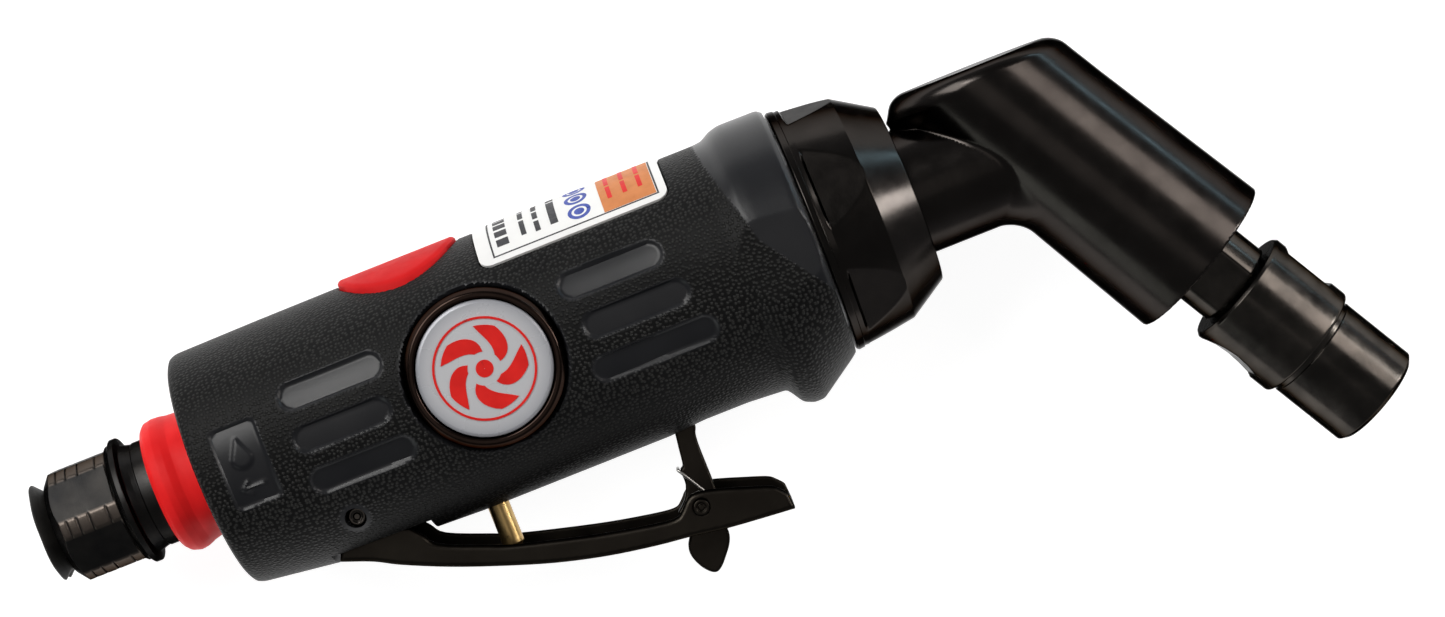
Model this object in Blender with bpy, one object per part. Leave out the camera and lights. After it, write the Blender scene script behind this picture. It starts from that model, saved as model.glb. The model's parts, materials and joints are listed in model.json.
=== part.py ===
"""Pneumatic die grinder with a 120 degree angle head, as an assembly of separate pieces.

The tool lies on its side: +X runs along the motor from the air inlet to the head, +Y is the
tool's back, away from the throttle lever, and +Z stands out of its near side. Numbers are in
millimetres and are turned into metres where a mesh or a place is made. Inside the tool frame the
motor axis is the X axis, and x = 0 is the rear face of the grip.
"""

import math

import bmesh
import bpy
from mathutils import Vector

MM = 0.001

# The whole tool: the middle of its box and the height of the motor axis when it lies on its side.
MIDDLE_X, MIDDLE_Y = 74.25, -19.55
SIDE_FLAT = 19.6
GAP = 0.3

# Head: where its axis crosses the motor axis, and how far it is turned down.
CROSSING_X = 136.2
HEAD_TURN = -60.0
BARREL_FRONT = 29.3
BARREL_TOP = 14.4
NOSE_FRONT = 64.0

# Grip shell: distance along, radius upward, radius downward, half width.
GRIP_SECTIONS = (
    (0.0, 17.0, 17.3, 17.1),
    (0.4, 17.9, 18.1, 18.0),
    (1.3, 18.2, 18.5, 18.3),
    (13.9, 18.4, 20.2, 18.6),
    (27.6, 18.6, 20.6, 18.9),
    (36.0, 18.7, 20.9, 19.0),
    (66.0, 18.8, 20.9, 19.3),
    (72.0, 18.8, 20.5, 19.3),
    (79.0, 18.75, 20.5, 19.3),
    (85.2, 18.75, 20.9, 19.5),
    (86.8, 18.9, 23.5, 20.0),
    (88.4, 19.8, 24.2, 20.4),
    (90.0, 20.2, 24.2, 20.4),
    (96.2, 20.15, 20.0, 20.2),
    (96.9, 19.6, 19.4, 19.5),
)
GRIP_SIDES = 32
GRIP_BORE, GRIP_REAR_HOLE, GRIP_REAR_WALL = 15.8, 11.0, 2.3

# Motor core.
CORE_RADIUS, CORE_REAR, CORE_FRONT = 15.5, 9.0, 103.0
MOTOR_BORE, MOTOR_REAR = 12.6, 46.5
INLET_THREAD_BORE, PASSAGE = 6.9, 3.2

# Throttle valve, on a line across the motor axis.
VALVE_X = 38.0
VALVE_BORE, VALVE_ROOF = 4.3, 5.0
STEM_RADIUS, STEM_TIP = 1.7, -28.0
PORT_Y, PORT_RADIUS = -11.0, 1.6

# Throttle lever and its safety catch.
PIVOT_X, PIVOT_Y = 18.9, -13.8
LEVER_HALF_WIDTH, LEVER_WALL = 7.5, 1.2
HUB_RADIUS, PIN_RADIUS, PIN_HALF_LENGTH = 3.4, 1.3, 11.6
LEVER_UNDERSIDE = (
    (13.4, -19.6), (18.0, -21.4), (21.7, -23.4), (28.4, -26.4), (35.8, -29.2), (43.3, -31.7),
    (50.8, -33.6), (58.2, -34.9), (63.9, -35.6), (69.1, -36.4), (74.6, -36.95), (79.8, -37.4),
)
LEVER_RIM = (
    (79.6, -34.8), (78.7, -33.8), (77.6, -32.9), (74.6, -31.8), (69.4, -30.1), (66.4, -29.6),
    (64.9, -30.2), (63.7, -31.4), (62.3, -32.1), (57.9, -31.5), (50.3, -29.9), (39.0, -26.9),
    (34.9, -25.4), (28.3, -22.6), (26.5, -20.5),
)
CATCH_X, CATCH_Y = 66.7, -31.9
CATCH_HALF_WIDTH, CATCH_PIN_RADIUS = 1.5, 0.9
CATCH_OUTLINE = (
    (67.0, -20.2), (70.2, -20.2), (70.2, -21.0), (69.8, -22.0), (69.6, -24.2), (69.6, -29.8),
    (69.4, -33.5), (69.0, -37.0), (68.9, -38.3), (68.3, -39.6), (67.2, -41.0), (66.2, -42.1),
    (65.2, -42.7), (64.3, -42.4), (63.3, -41.3), (62.6, -39.9), (62.3, -38.6), (62.5, -37.4),
    (63.2, -36.2), (63.9, -34.6), (62.9, -32.2), (64.6, -30.6), (65.4, -29.0), (65.6, -28.0),
    (65.6, -26.3), (66.2, -25.7), (66.6, -23.0),
)

# Air motor.
CYLINDER_RADIUS, CYLINDER_BORE, ECCENTRICITY = 12.3, 10.3, 1.2
CYLINDER_REAR, CYLINDER_FRONT = 52.1, 77.9
ROTOR_RADIUS, SLOT_FLOOR, SLOT_WIDTH = 8.8, 4.3, 1.5
VANE_COUNT, VANE_THICKNESS = 4, 0.9
SHAFT_RADIUS = 2.8

# Bevel gears: both cones meet where the axes cross.
PINION_TEETH, GEAR_TEETH = 12, 15
PINION_CONE, GEAR_CONE = math.radians(49.1), math.radians(70.9)
CONE_DISTANCE, FACE_WIDTH = 7.94, 2.4
ADDENDUM, DEDENDUM = 0.8, 1.15
TIP_SHARE, ROOT_SHARE = 0.12, 0.29

# Badge on either side of the grip.
BADGE_X, BEZEL_RADIUS, DISC_RADIUS, BEZEL_FACE = 45.2, 11.9, 10.1, 19.2
BADGE_SADDLE = 16.3


def look(name, colour, roughness, metallic=0.0):
    """The material of that name, made on first use."""
    material = bpy.data.materials.get(name)
    if material is None:
        material = bpy.data.materials.new(name)
        material.use_nodes = True
        shader = material.node_tree.nodes["Principled BSDF"]
        shader.inputs["Base Color"].default_value = (*colour, 1.0)
        shader.inputs["Roughness"].default_value = roughness
        shader.inputs["Metallic"].default_value = metallic
    return material


def rubber_grip():
    return look("grip_composite", (0.035, 0.036, 0.038), 0.6)


def red_plastic():
    return look("red_plastic", (0.78, 0.03, 0.03), 0.45)


def black_steel():
    return look("black_steel", (0.03, 0.03, 0.032), 0.3, 1.0)


def black_head():
    return look("head_black", (0.015, 0.015, 0.017), 0.25)


def lever_steel():
    return look("lever_black", (0.03, 0.027, 0.025), 0.35)


def plain_steel():
    return look("plain_steel", (0.6, 0.6, 0.62), 0.3, 1.0)


def core_alloy():
    return look("core_alloy", (0.7, 0.7, 0.72), 0.4, 1.0)


def brass():
    return look("brass", (0.75, 0.55, 0.25), 0.3, 1.0)


def seal_rubber():
    return look("seal_rubber", (0.02, 0.02, 0.02), 0.7)


def felt():
    return look("silencer_felt", (0.6, 0.58, 0.52), 0.95)


def vane_composite():
    return look("vane_composite", (0.35, 0.2, 0.1), 0.6)


def badge_black():
    return look("badge_black", (0.02, 0.016, 0.014), 0.15)


def badge_silver():
    return look("badge_silver", (0.66, 0.68, 0.72), 0.3)


def label_white():
    return look("label_white", (0.85, 0.85, 0.84), 0.4)


def clear_scene():
    for leftover in list(bpy.data.objects):
        bpy.data.objects.remove(leftover, do_unlink=True)


def empty(name, parent=None, place=(0, 0, 0), turn=0.0):
    """An axis or frame to hang pieces on, turned about Z by the given degrees."""
    frame = bpy.data.objects.new(name, None)
    bpy.context.scene.collection.objects.link(frame)
    frame.parent = parent
    frame.location = Vector(place) * MM
    frame.rotation_euler = (0, 0, math.radians(turn))
    return frame


def mesh_piece(name, points, faces, parent, material, place=(0, 0, 0), turn=(0, 0, 0)):
    """A closed mesh object from points in millimetres, facing outward and smooth where it is round."""
    mesh = bpy.data.meshes.new(name)
    mesh.from_pydata([Vector(p) * MM for p in points], [], faces)
    work = bmesh.new()
    work.from_mesh(mesh)
    bmesh.ops.recalc_face_normals(work, faces=work.faces)
    work.to_mesh(mesh)
    work.free()
    mesh.shade_smooth()
    mesh.set_sharp_from_angle(angle=math.radians(35))
    mesh.materials.append(material)
    piece = bpy.data.objects.new(name, mesh)
    bpy.context.scene.collection.objects.link(piece)
    piece.parent = parent
    piece.location = Vector(place) * MM
    piece.rotation_euler = [math.radians(angle) for angle in turn]
    return piece


def lofted(name, rings, parent, material, **place):
    """A closed loop of rings joined by faces. A ring of one point is a pole on the axis."""
    points, starts, faces = [], [], []
    for ring in rings:
        starts.append(len(points))
        points.extend(ring)
    for index, ring in enumerate(rings):
        after = (index + 1) % len(rings)
        first, second = starts[index], starts[after]
        sizes = len(ring), len(rings[after])
        for step in range(max(sizes)):
            step_on = (step + 1) % max(sizes)
            if sizes == (1, 1):
                break
            if sizes[0] == 1:
                faces.append((first, second + step, second + step_on))
            elif sizes[1] == 1:
                faces.append((first + step, second, first + step_on))
            else:
                faces.append((first + step, second + step, second + step_on, first + step_on))
    return mesh_piece(name, points, faces, parent, material, **place)


def circle(along, radius, sides, phase=0.0):
    if radius == 0:
        return [(along, 0.0, 0.0)]
    angles = [2 * math.pi * step / sides + phase for step in range(sides)]
    return [(along, radius * math.cos(a), radius * math.sin(a)) for a in angles]


def turned(name, profile, parent, material, sides=32, phase=0.0, **place):
    """A turned piece about the parent's X axis; profile is a closed loop of (along, radius)."""
    rings = [circle(along, radius, sides, phase) for along, radius in profile]
    return lofted(name, rings, parent, material, **place)


def ring_profile(low, high, inner, outer):
    return ((low, inner), (low, outer), (high, outer), (high, inner))


def rod_profile(low, high, radius):
    return ((low, 0), (low, radius), (high, radius), (high, 0))


def extruded(name, outline, low, high, parent, material, along="Z", origin=(0, 0)):
    """An outline pushed along Z (outline in X, Y) or along X (outline in Y, Z)."""
    shifted = [(a - origin[0], b - origin[1]) for a, b in outline]
    if along == "Z":
        rings = [[(a, b, level) for a, b in shifted] for level in (low, high)]
    else:
        rings = [[(level, a, b) for a, b in shifted] for level in (low, high)]
    count = len(shifted)
    faces = [tuple(range(count)), tuple(range(2 * count - 1, count - 1, -1))]
    for step in range(count):
        step_on = (step + 1) % count
        faces.append((step, step_on, count + step_on, count + step))
    return mesh_piece(name, rings[0] + rings[1], faces, parent, material, place=(*origin, 0))


def box(name, low, high, parent, material=None):
    outline = ((low[0], low[1]), (high[0], low[1]), (high[0], high[1]), (low[0], high[1]))
    return extruded(name, outline, low[2], high[2], parent, material or black_steel())


def wire(name, points, radius, parent, material, place=(0, 0, 0)):
    """Round wire along points in millimetres, with closed ends."""
    curve = bpy.data.curves.new(name, "CURVE")
    curve.dimensions = "3D"
    curve.bevel_depth = radius * MM
    curve.bevel_resolution = 0
    curve.use_fill_caps = True
    spline = curve.splines.new("POLY")
    spline.points.add(len(points) - 1)
    for knot, point in zip(spline.points, points):
        knot.co = (*(Vector(point) * MM), 1)
    curve.materials.append(material)
    piece = bpy.data.objects.new(name, curve)
    bpy.context.scene.collection.objects.link(piece)
    piece.parent = parent
    piece.location = Vector(place) * MM
    return piece


def combine(piece, other, operation):
    """A live Boolean on the piece. The other shape becomes a helper that is never rendered."""
    other.hide_render = True
    other.display_type = "WIRE"
    modifier = piece.modifiers.new(other.name, "BOOLEAN")
    modifier.operation = operation
    modifier.object = other
    modifier.solver = "EXACT"


def cut(piece, *cutters):
    for cutter in cutters:
        combine(piece, cutter, "DIFFERENCE")


def fuse(piece, *additions):
    for addition in additions:
        combine(piece, addition, "UNION")


def polygon_ring(name, half_across_flats, low, high, parent, sides, phase):
    """A cutter that leaves a prism with flat sides standing inside it."""
    inner = half_across_flats / math.cos(math.pi / sides)
    return turned(name, ring_profile(low, high, inner, inner * 1.6), parent, black_steel(), sides, phase)


def bearing(name, low, high, bore, radius, parent):
    """A shielded ball bearing: one ring with a shallow recess in its rear face."""
    recess, rim = 0.35, 0.28 * (radius - bore)
    profile = (
        (low, bore), (low, bore + rim), (low + recess, bore + rim), (low + recess, radius - rim),
        (low, radius - rim), (low, radius), (high, radius), (high, bore),
    )
    return turned(name, profile, parent, plain_steel(), sides=16)


def grip_ring(along, top, bottom, half_width):
    ring = []
    for step in range(GRIP_SIDES):
        angle = 2 * math.pi * step / GRIP_SIDES
        height = (top if math.cos(angle) > 0 else bottom) * math.cos(angle)
        width = half_width * math.sin(angle)
        ring.append((along, height, max(-SIDE_FLAT, min(SIDE_FLAT, width))))
    return ring


def make_grip(tool):
    rings = [grip_ring(*section) for section in GRIP_SECTIONS]
    front = GRIP_SECTIONS[-1][0]
    inside = (
        (front, GRIP_BORE), (GRIP_REAR_WALL, GRIP_BORE),
        (GRIP_REAR_WALL, GRIP_REAR_HOLE), (0.0, GRIP_REAR_HOLE),
    )
    rings += [circle(along, radius, GRIP_SIDES) for along, radius in inside]
    grip = lofted("grip_housing", rings, tool, rubber_grip())
    cut(
        grip,
        box("lever_slot", (12.6, -26, -8), (28.8, -9.1, 8), tool),
        box("catch_pocket", (56.5, -26, -2.2), (72.5, -17.7, 2.2), tool),
        turned(
            "stem_hole", rod_profile(-26, -12, STEM_RADIUS + 0.5), tool, brass(), 16,
            place=(VALVE_X, 0, 0), turn=(0, 0, 90),
        ),
        turned(
            "pin_hole", rod_profile(-25, 25, PIN_RADIUS + GAP), tool, brass(), 16,
            place=(PIVOT_X, PIVOT_Y, 0), turn=(0, 90, 0),
        ),
    )
    return grip


def make_top_trim(tool, grip):
    """The red insert and the white label, each in a shallow pocket of the grip's back."""
    insert_x, insert_half_length, insert_radius = 37.4, 9.5, 10.2
    floor, top = 17.5, 19.6

    def oval(name, extra, low, high):
        column = turned(
            name, rod_profile(low, high, insert_radius + extra), tool, red_plastic(), 28,
            place=(insert_x, 0, 0), turn=(0, 0, 90),
        )
        for vertex in column.data.vertices:
            vertex.co.y *= insert_half_length / insert_radius
        return column

    pocket = oval("insert_pocket", GAP, 8, 26)
    cut(pocket, turned("pocket_floor", rod_profile(15, 60, floor), tool, red_plastic(), 48))
    cut(grip, pocket)
    insert = oval("accent_insert", 0, 10, 25)
    cut(insert, turned("insert_under", rod_profile(15, 60, floor + GAP), tool, red_plastic(), 48))
    shell = turned("insert_top", rod_profile(14, 61, top), tool, red_plastic(), 48)
    combine(insert, shell, "INTERSECT")

    label_low, label_high = 49.8, 79.5
    first, last, steps = math.radians(-18), math.radians(45), 12

    def strip(name, low, high, inner, outer, spread):
        angles = [first - spread + (last - first + 2 * spread) * k / steps for k in range(steps + 1)]
        arc = [(outer * math.cos(a), outer * math.sin(a)) for a in angles]
        arc += [(inner * math.cos(a), inner * math.sin(a)) for a in reversed(angles)]
        return extruded(name, arc, low, high, tool, label_white(), along="X")

    label_floor, label_face = 18.25, 19.0
    margin = 0.3
    cut(grip, strip("label_pocket", label_low - margin, label_high + margin, label_floor, 22, 0.016))
    strip("rating_label", label_low, label_high, label_floor + GAP, label_face, 0)


def make_badges(tool, grip):
    recess_floor, disc_face = 17.7, 19.0
    for side, turn in (("near", -90), ("far", 90)):
        axis = {"place": (BADGE_X, 0, 0), "turn": (0, turn, 0)}
        saddle = turned(f"saddle_{side}", rod_profile(20, 70, BADGE_SADDLE), tool, badge_black(), 36)
        pocket = turned(
            f"badge_pocket_{side}", rod_profile(6, 24, BEZEL_RADIUS + GAP), tool, badge_black(), 30,
            phase=0.03, **axis,
        )
        cut(pocket, saddle)
        cut(grip, pocket)
        under = turned(
            f"bezel_under_{side}", rod_profile(20, 70, BADGE_SADDLE + GAP), tool, badge_black(), 36
        )
        profile = (
            (6, 0), (6, BEZEL_RADIUS), (17.9, BEZEL_RADIUS), (18.8, BEZEL_RADIUS - 0.4),
            (BEZEL_FACE, BEZEL_RADIUS - 0.9), (BEZEL_FACE, DISC_RADIUS + GAP),
            (recess_floor, DISC_RADIUS + GAP), (recess_floor, 0),
        )
        bezel = turned(f"badge_bezel_{side}", profile, tool, badge_black(), 26, **axis)
        cut(bezel, under)
        turned(
            f"badge_disc_{side}", rod_profile(recess_floor + GAP, disc_face, DISC_RADIUS),
            tool, badge_silver(), 26, **axis,
        )


def make_inlet(tool):
    hex_low, hex_high, hex_half, turned_corner = -24.5, -13.9, 8.5, 9.0
    neck, socket, socket_floor, shank = 8.26, 5.9, -9.0, 6.6
    profile = (
        (hex_low, socket), (hex_low, 7.2), (-22.9, turned_corner), (hex_high, turned_corner),
        (-13.8, 8.9), (-12.9, 9.9), (-12.1, 9.9), (-10.8, neck),
        (CORE_REAR - GAP, neck), (CORE_REAR - GAP, shank), (17.0, shank), (17.0, PASSAGE + 0.3),
        (socket_floor, PASSAGE + 0.3), (socket_floor, socket),
    )
    inlet = turned("air_inlet", profile, tool, black_steel(), 30)
    cut(inlet, polygon_ring("inlet_hex", hex_half, hex_low - 1, hex_high, tool, 6, math.radians(30)))

    screen = turned("inlet_screen", rod_profile(-10.0, -9.4, socket - GAP), tool, brass(), 20)
    for index in range(6):
        angle = 2 * math.pi * index / 6
        place = (0, 3.4 * math.cos(angle), 3.4 * math.sin(angle))
        hole = turned(f"screen_hole_{index}", rod_profile(-11, -8, 0.8), tool, brass(), 6, 0.3, place=place)
        cut(screen, hole)

    stem, hollow, lip = 5.5, 4.5, 7.8
    profile = (
        (-18.4, 0), (-18.4, stem), (-24.2, stem), (-24.9, 5.9), (-25.7, 6.8), (-26.4, lip),
        (-26.7, lip - 0.3), (-26.1, 6.4), (-25.3, 5.2), (-24.6, hollow), (-19.4, hollow), (-19.4, 0),
    )
    turned("inlet_plug", profile, tool, seal_rubber(), 24)

    ring_rear, ring_front, ring_bore, groove = -8.0, 2.0, 8.6, 9.4
    profile = (
        (ring_rear, ring_bore), (ring_rear, 9.6), (-7.4, 10.3), (-6.2, 10.6), (-4.5, 10.6),
        (-0.6, 10.1), (ring_front, 10.1), (ring_front, ring_bore), (-2.5, ring_bore),
        (-2.5, groove), (-4.5, groove), (-4.5, ring_bore),
    )
    turned("exhaust_ring", profile, tool, red_plastic(), 28)
    turned("ring_seal", ring_profile(-4.2, -2.8, 8.56, groove - GAP), tool, seal_rubber(), 16)
    turned(
        "silencer", ring_profile(GRIP_REAR_WALL + GAP, CORE_REAR - GAP, neck + GAP, GRIP_BORE - GAP),
        tool, felt(), 20,
    )


def make_core(tool):
    profile = (
        (CORE_REAR, INLET_THREAD_BORE), (CORE_REAR, CORE_RADIUS), (CORE_FRONT, CORE_RADIUS),
        (CORE_FRONT, MOTOR_BORE), (MOTOR_REAR, MOTOR_BORE), (MOTOR_REAR, 0),
        (VALVE_X - 2, 0), (VALVE_X - 2, PASSAGE), (17.5, PASSAGE), (17.5, INLET_THREAD_BORE),
    )
    core = turned("motor_core", profile, tool, core_alloy(), 32)
    cut(
        core,
        turned(
            "valve_bore", rod_profile(-17, VALVE_ROOF, VALVE_BORE), tool, brass(), 20,
            place=(VALVE_X, 0, 0), turn=(0, 0, 90),
        ),
        turned(
            "motor_port", rod_profile(VALVE_X, MOTOR_REAR + 1, PORT_RADIUS), tool, brass(), 10,
            place=(0, PORT_Y, 0),
        ),
        box("hub_room", (11.5, -17, -8.3), (30, -9.9, 8.3), tool),
        box("pin_room", (17.2, -17, -12.2), (20.6, -12.2, 12.2), tool),
        box("exhaust_port", (58, 11, -4), (72, 15, 4), tool),
        box("exhaust_groove", (CORE_REAR - 1, 14.2, -4.5), (64, 17, 4.5), tool),
    )


def make_valve(tool):
    """The pieces stand on one line across the tool: their along direction is the tool's Y."""
    line = empty("valve_line", tool, (VALVE_X, 0, 0), 90)
    seat_top = -9.0
    profile = (
        (-15.2, 3.0), (-15.2, VALVE_BORE - GAP), (seat_top, VALVE_BORE - GAP), (seat_top, 2.8),
        (-12.4, 2.8), (-12.4, STEM_RADIUS + GAP), (-13.6, STEM_RADIUS + GAP), (-13.6, 3.0),
    )
    bushing = turned("valve_bushing", profile, line, brass(), 16)
    port = turned(
        "bushing_port", rod_profile(-6, 6, 1.1), tool, brass(), 10, place=(VALVE_X, PORT_Y, 0)
    )
    cut(bushing, port)
    turned("stem_seal", ring_profile(-15.0, -13.9, STEM_RADIUS + 0.25, 2.7), line, seal_rubber(), 12)
    turned("valve_seat", ring_profile(-8.7, -7.7, 2.6, 3.9), line, seal_rubber(), 14)
    profile = ((-7.4, 0), (-7.4, 3.4), (-5.0, 3.4), (-5.0, 1.5), (-3.6, 1.2), (-3.6, 0))
    turned("valve_head", profile, line, brass(), 14)
    profile = (
        (-7.7, 0), (-7.7, STEM_RADIUS - 0.2), (-8.0, STEM_RADIUS), (STEM_TIP + 0.8, STEM_RADIUS),
        (STEM_TIP + 0.2, 1.0), (STEM_TIP, 0.5), (STEM_TIP, 0),
    )
    turned("valve_stem", profile, line, brass(), 16)

    wire_radius, coil_radius, turns, steps = 0.3, 2.5, 5, 10
    low, high = -4.35, VALVE_ROOF - GAP - wire_radius
    points = []
    for step in range(turns * steps + 1):
        angle = 2 * math.pi * step / steps
        along = low + (high - low) * step / (turns * steps)
        points.append((along, coil_radius * math.cos(angle), coil_radius * math.sin(angle)))
    wire("valve_spring", points, wire_radius, line, plain_steel())


def hub_arc(centre_x, centre_y, radius, first, last, steps):
    """Points round a hub from one angle to another, in degrees."""
    arc = []
    for step in range(steps + 1):
        angle = math.radians(first + (last - first) * step / steps)
        arc.append((centre_x + radius * math.cos(angle), centre_y + radius * math.sin(angle)))
    return arc


def make_lever(tool):
    pivot = (PIVOT_X, PIVOT_Y)
    hub = hub_arc(PIVOT_X, PIVOT_Y, HUB_RADIUS, -25, 195, 12)
    outline = (*LEVER_UNDERSIDE, *LEVER_RIM, *hub)
    lever = extruded(
        "throttle_lever", outline, -LEVER_HALF_WIDTH, LEVER_HALF_WIDTH, tool, lever_steel(), origin=pivot
    )
    web = [(x, y + LEVER_WALL) for x, y in LEVER_UNDERSIDE]
    rear, front, above = 12.0, 82.0, -8.0
    channel = ((rear, web[0][1] + 1.4), *web, (front, web[-1][1]), (front, above), (rear, above))
    inside = LEVER_HALF_WIDTH - LEVER_WALL
    cut(
        lever,
        extruded("lever_channel", channel, -inside, inside, tool, lever_steel()),
        box("catch_slot", (60.5, -40, -1.9), (78.2, -30, 1.9), tool),
        turned(
            "lever_bore", rod_profile(-12, 12, PIN_RADIUS + GAP), tool, brass(), 16,
            place=(*pivot, 0), turn=(0, 90, 0),
        ),
        turned(
            "catch_pin_bore", rod_profile(-12, 12, CATCH_PIN_RADIUS + GAP), tool, brass(), 14,
            place=(CATCH_X, CATCH_Y, 0), turn=(0, 90, 0),
        ),
    )
    upright = (0, -90, 0)
    turned(
        "lever_pin", rod_profile(-PIN_HALF_LENGTH, PIN_HALF_LENGTH, PIN_RADIUS), tool, plain_steel(), 16,
        place=(*pivot, 0), turn=upright,
    )
    head = LEVER_HALF_WIDTH + 0.5
    turned(
        "lock_pin", rod_profile(-head, head, CATCH_PIN_RADIUS), tool, lever_steel(), 16,
        place=(CATCH_X, CATCH_Y, 0), turn=upright,
    )


def make_catch(tool):
    place = (CATCH_X, CATCH_Y)
    catch = extruded(
        "lock_lever", CATCH_OUTLINE, -CATCH_HALF_WIDTH, CATCH_HALF_WIDTH, tool, lever_steel(), origin=place
    )
    cut(
        catch,
        turned(
            "catch_bore", rod_profile(-4, 4, CATCH_PIN_RADIUS + GAP), tool, brass(), 14,
            place=(*place, 0), turn=(0, 90, 0),
        ),
    )
    coil_radius, wire_radius, first, last, steps = 1.75, 0.25, 30, -830, 24
    low, high = 2.1, 4.3
    points = [(-1.4, 5.9, -0.8), (-1.4, 5.9, 1.9), (-1.2, 5.6, low)]
    for step in range(steps + 1):
        share = step / steps
        angle = math.radians(first + (last - first) * share)
        level = low + (high - low) * share
        points.append((coil_radius * math.cos(angle), coil_radius * math.sin(angle), level))
    points.append((-4.2, -1.3, high))
    wire("lock_spring", points, wire_radius, tool, plain_steel(), place=(*place, 0))


def rotor_outline():
    """The rotor's section in Y, Z: round between the vane slots."""
    half = SLOT_WIDTH / 2
    edge = math.asin(half / ROTOR_RADIUS)
    outline = []
    for index in range(VANE_COUNT):
        centre = 2 * math.pi * index / VANE_COUNT
        along, across = (math.cos(centre), math.sin(centre)), (-math.sin(centre), math.cos(centre))
        for side in (-half, half):
            corner = [SLOT_FLOOR * a + side * b for a, b in zip(along, across)]
            outline.append(tuple(corner))
        span = 2 * math.pi / VANE_COUNT - 2 * edge
        for step in range(7):
            angle = centre + edge + span * step / 6
            outline.append((ROTOR_RADIUS * math.cos(angle), ROTOR_RADIUS * math.sin(angle)))
    return outline


def end_plate(name, low, high, pocket_low, pocket_high, tool):
    bore = SHAFT_RADIUS + GAP
    plate = turned(name, ring_profile(low, high, bore, CYLINDER_RADIUS), tool, plain_steel(), 24)
    cut(plate, turned(f"{name}_pocket", rod_profile(pocket_low, pocket_high, 6.5), tool, plain_steel(), 18))
    return plate


def make_motor(tool):
    rear = end_plate("rear_end_plate", 46.8, 51.8, 46, 50.6, tool)
    cut(rear, turned("plate_port", rod_profile(45, 53, 1.4), tool, brass(), 10, place=(0, -9.6, 0)))
    bearing("rear_bearing", 47.1, 50.3, SHAFT_RADIUS + GAP, 6.2, tool)
    end_plate("front_end_plate", 78.2, 83.2, 79.4, 84, tool)
    bearing("front_bearing", 79.7, 82.9, SHAFT_RADIUS + GAP, 6.2, tool)

    cylinder = turned(
        "rotor_cylinder", rod_profile(CYLINDER_REAR, CYLINDER_FRONT, CYLINDER_RADIUS), tool,
        plain_steel(), 28,
    )
    bore = turned(
        "eccentric_bore", rod_profile(CYLINDER_REAR - 1, CYLINDER_FRONT + 1, CYLINDER_BORE),
        tool, plain_steel(), 28, place=(0, -ECCENTRICITY, 0),
    )
    cut(cylinder, bore)
    for index, along in enumerate((60, 65, 70)):
        cut(cylinder, box(f"exhaust_slot_{index}", (along - 1, 7, -3), (along + 1, 14, 3), tool))

    rotor = extruded(
        "rotor", rotor_outline(), CYLINDER_REAR + GAP, CYLINDER_FRONT - GAP, tool, plain_steel(), along="X"
    )
    shaft = turned("rotor_shaft", rod_profile(47.3, 83.6, SHAFT_RADIUS), tool, plain_steel(), 14)
    drive = turned("rotor_drive", rod_profile(83.0, 88.4, SHAFT_RADIUS), tool, plain_steel(), 6)
    fuse(rotor, shaft, drive)

    for index in range(VANE_COUNT):
        low, high, half = CYLINDER_REAR + 0.6, CYLINDER_FRONT - 0.6, VANE_THICKNESS / 2
        vane = box(
            f"vane_{index + 1}", (low, SLOT_FLOOR + GAP, -half), (high, ROTOR_RADIUS - 0.1, half),
            tool, vane_composite(),
        )
        vane.rotation_euler = (2 * math.pi * index / VANE_COUNT, 0, 0)
    turned("wave_washer", ring_profile(83.5, 84.3, 7.5, 11.6), tool, plain_steel(), 20)


def bevel_ring(distance, teeth, cone):
    """One end of a toothed cone, with its apex at the origin and four points to a tooth."""
    pitch = 2 * math.pi / teeth
    tip = cone + math.atan(ADDENDUM / CONE_DISTANCE)
    root = cone - math.atan(DEDENDUM / CONE_DISTANCE)
    corners = ((-ROOT_SHARE, root), (-TIP_SHARE, tip), (TIP_SHARE, tip), (ROOT_SHARE, root))
    ring = []
    for tooth in range(teeth):
        for share, slope in corners:
            angle = pitch * (tooth + share)
            radius = distance * math.sin(slope)
            ring.append((distance * math.cos(slope), radius * math.cos(angle), radius * math.sin(angle)))
    return ring


def bevel_blank(name, teeth, cone, back, back_radius, bore, parent, **place):
    """A toothed cone with a round back, bored through where bore isn't zero."""
    front = CONE_DISTANCE - FACE_WIDTH
    face = front * math.cos(cone - math.atan(DEDENDUM / CONE_DISTANCE))
    rings = [
        circle(face, bore, 4 * teeth),
        bevel_ring(front, teeth, cone),
        bevel_ring(CONE_DISTANCE, teeth, cone),
        circle(back, back_radius, 4 * teeth),
        circle(back, bore, 4 * teeth),
    ]
    return lofted(name, rings, parent, plain_steel(), **place)


def make_drive(tool, head):
    apex = {"place": (CROSSING_X, 0, 0), "turn": (0, 0, 180)}
    pinion = bevel_blank("pinion_shaft", PINION_TEETH, PINION_CONE, 8.6, 4.9, 0, tool, **apex)
    fuse(
        pinion,
        turned("pinion_stem", rod_profile(90, CROSSING_X - 7, 3.0), tool, plain_steel(), 16, 0.05),
        turned("pinion_socket", rod_profile(84.7, 93, 4.6), tool, plain_steel(), 16),
    )
    cut(pinion, turned("drive_socket", rod_profile(84, 88.9, SHAFT_RADIUS + 0.4), tool, plain_steel(), 6))
    bearing("pinion_rear_bearing", 88.0, 92.0, 4.9, 9.2, tool)
    bearing("pinion_front_bearing", 119.0, 123.0, 3.3, 7.3, tool)

    bevel_blank("bevel_gear", GEAR_TEETH, GEAR_CONE, 7.6, 6.0, 4.3, head)
    bearing("spindle_rear_bearing", 8.5, 12.5, 4.3, 9.2, head)
    turned("bearing_spacer", ring_profile(12.8, 19.7, 7.9, 9.2), head, plain_steel(), 20)
    bearing("spindle_front_bearing", 20.0, 25.0, 4.3, 9.2, head)
    turned("bearing_cap", ring_profile(26.0, BARREL_FRONT - 0.3, 7.0, 10.5), head, black_steel(), 28)


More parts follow.
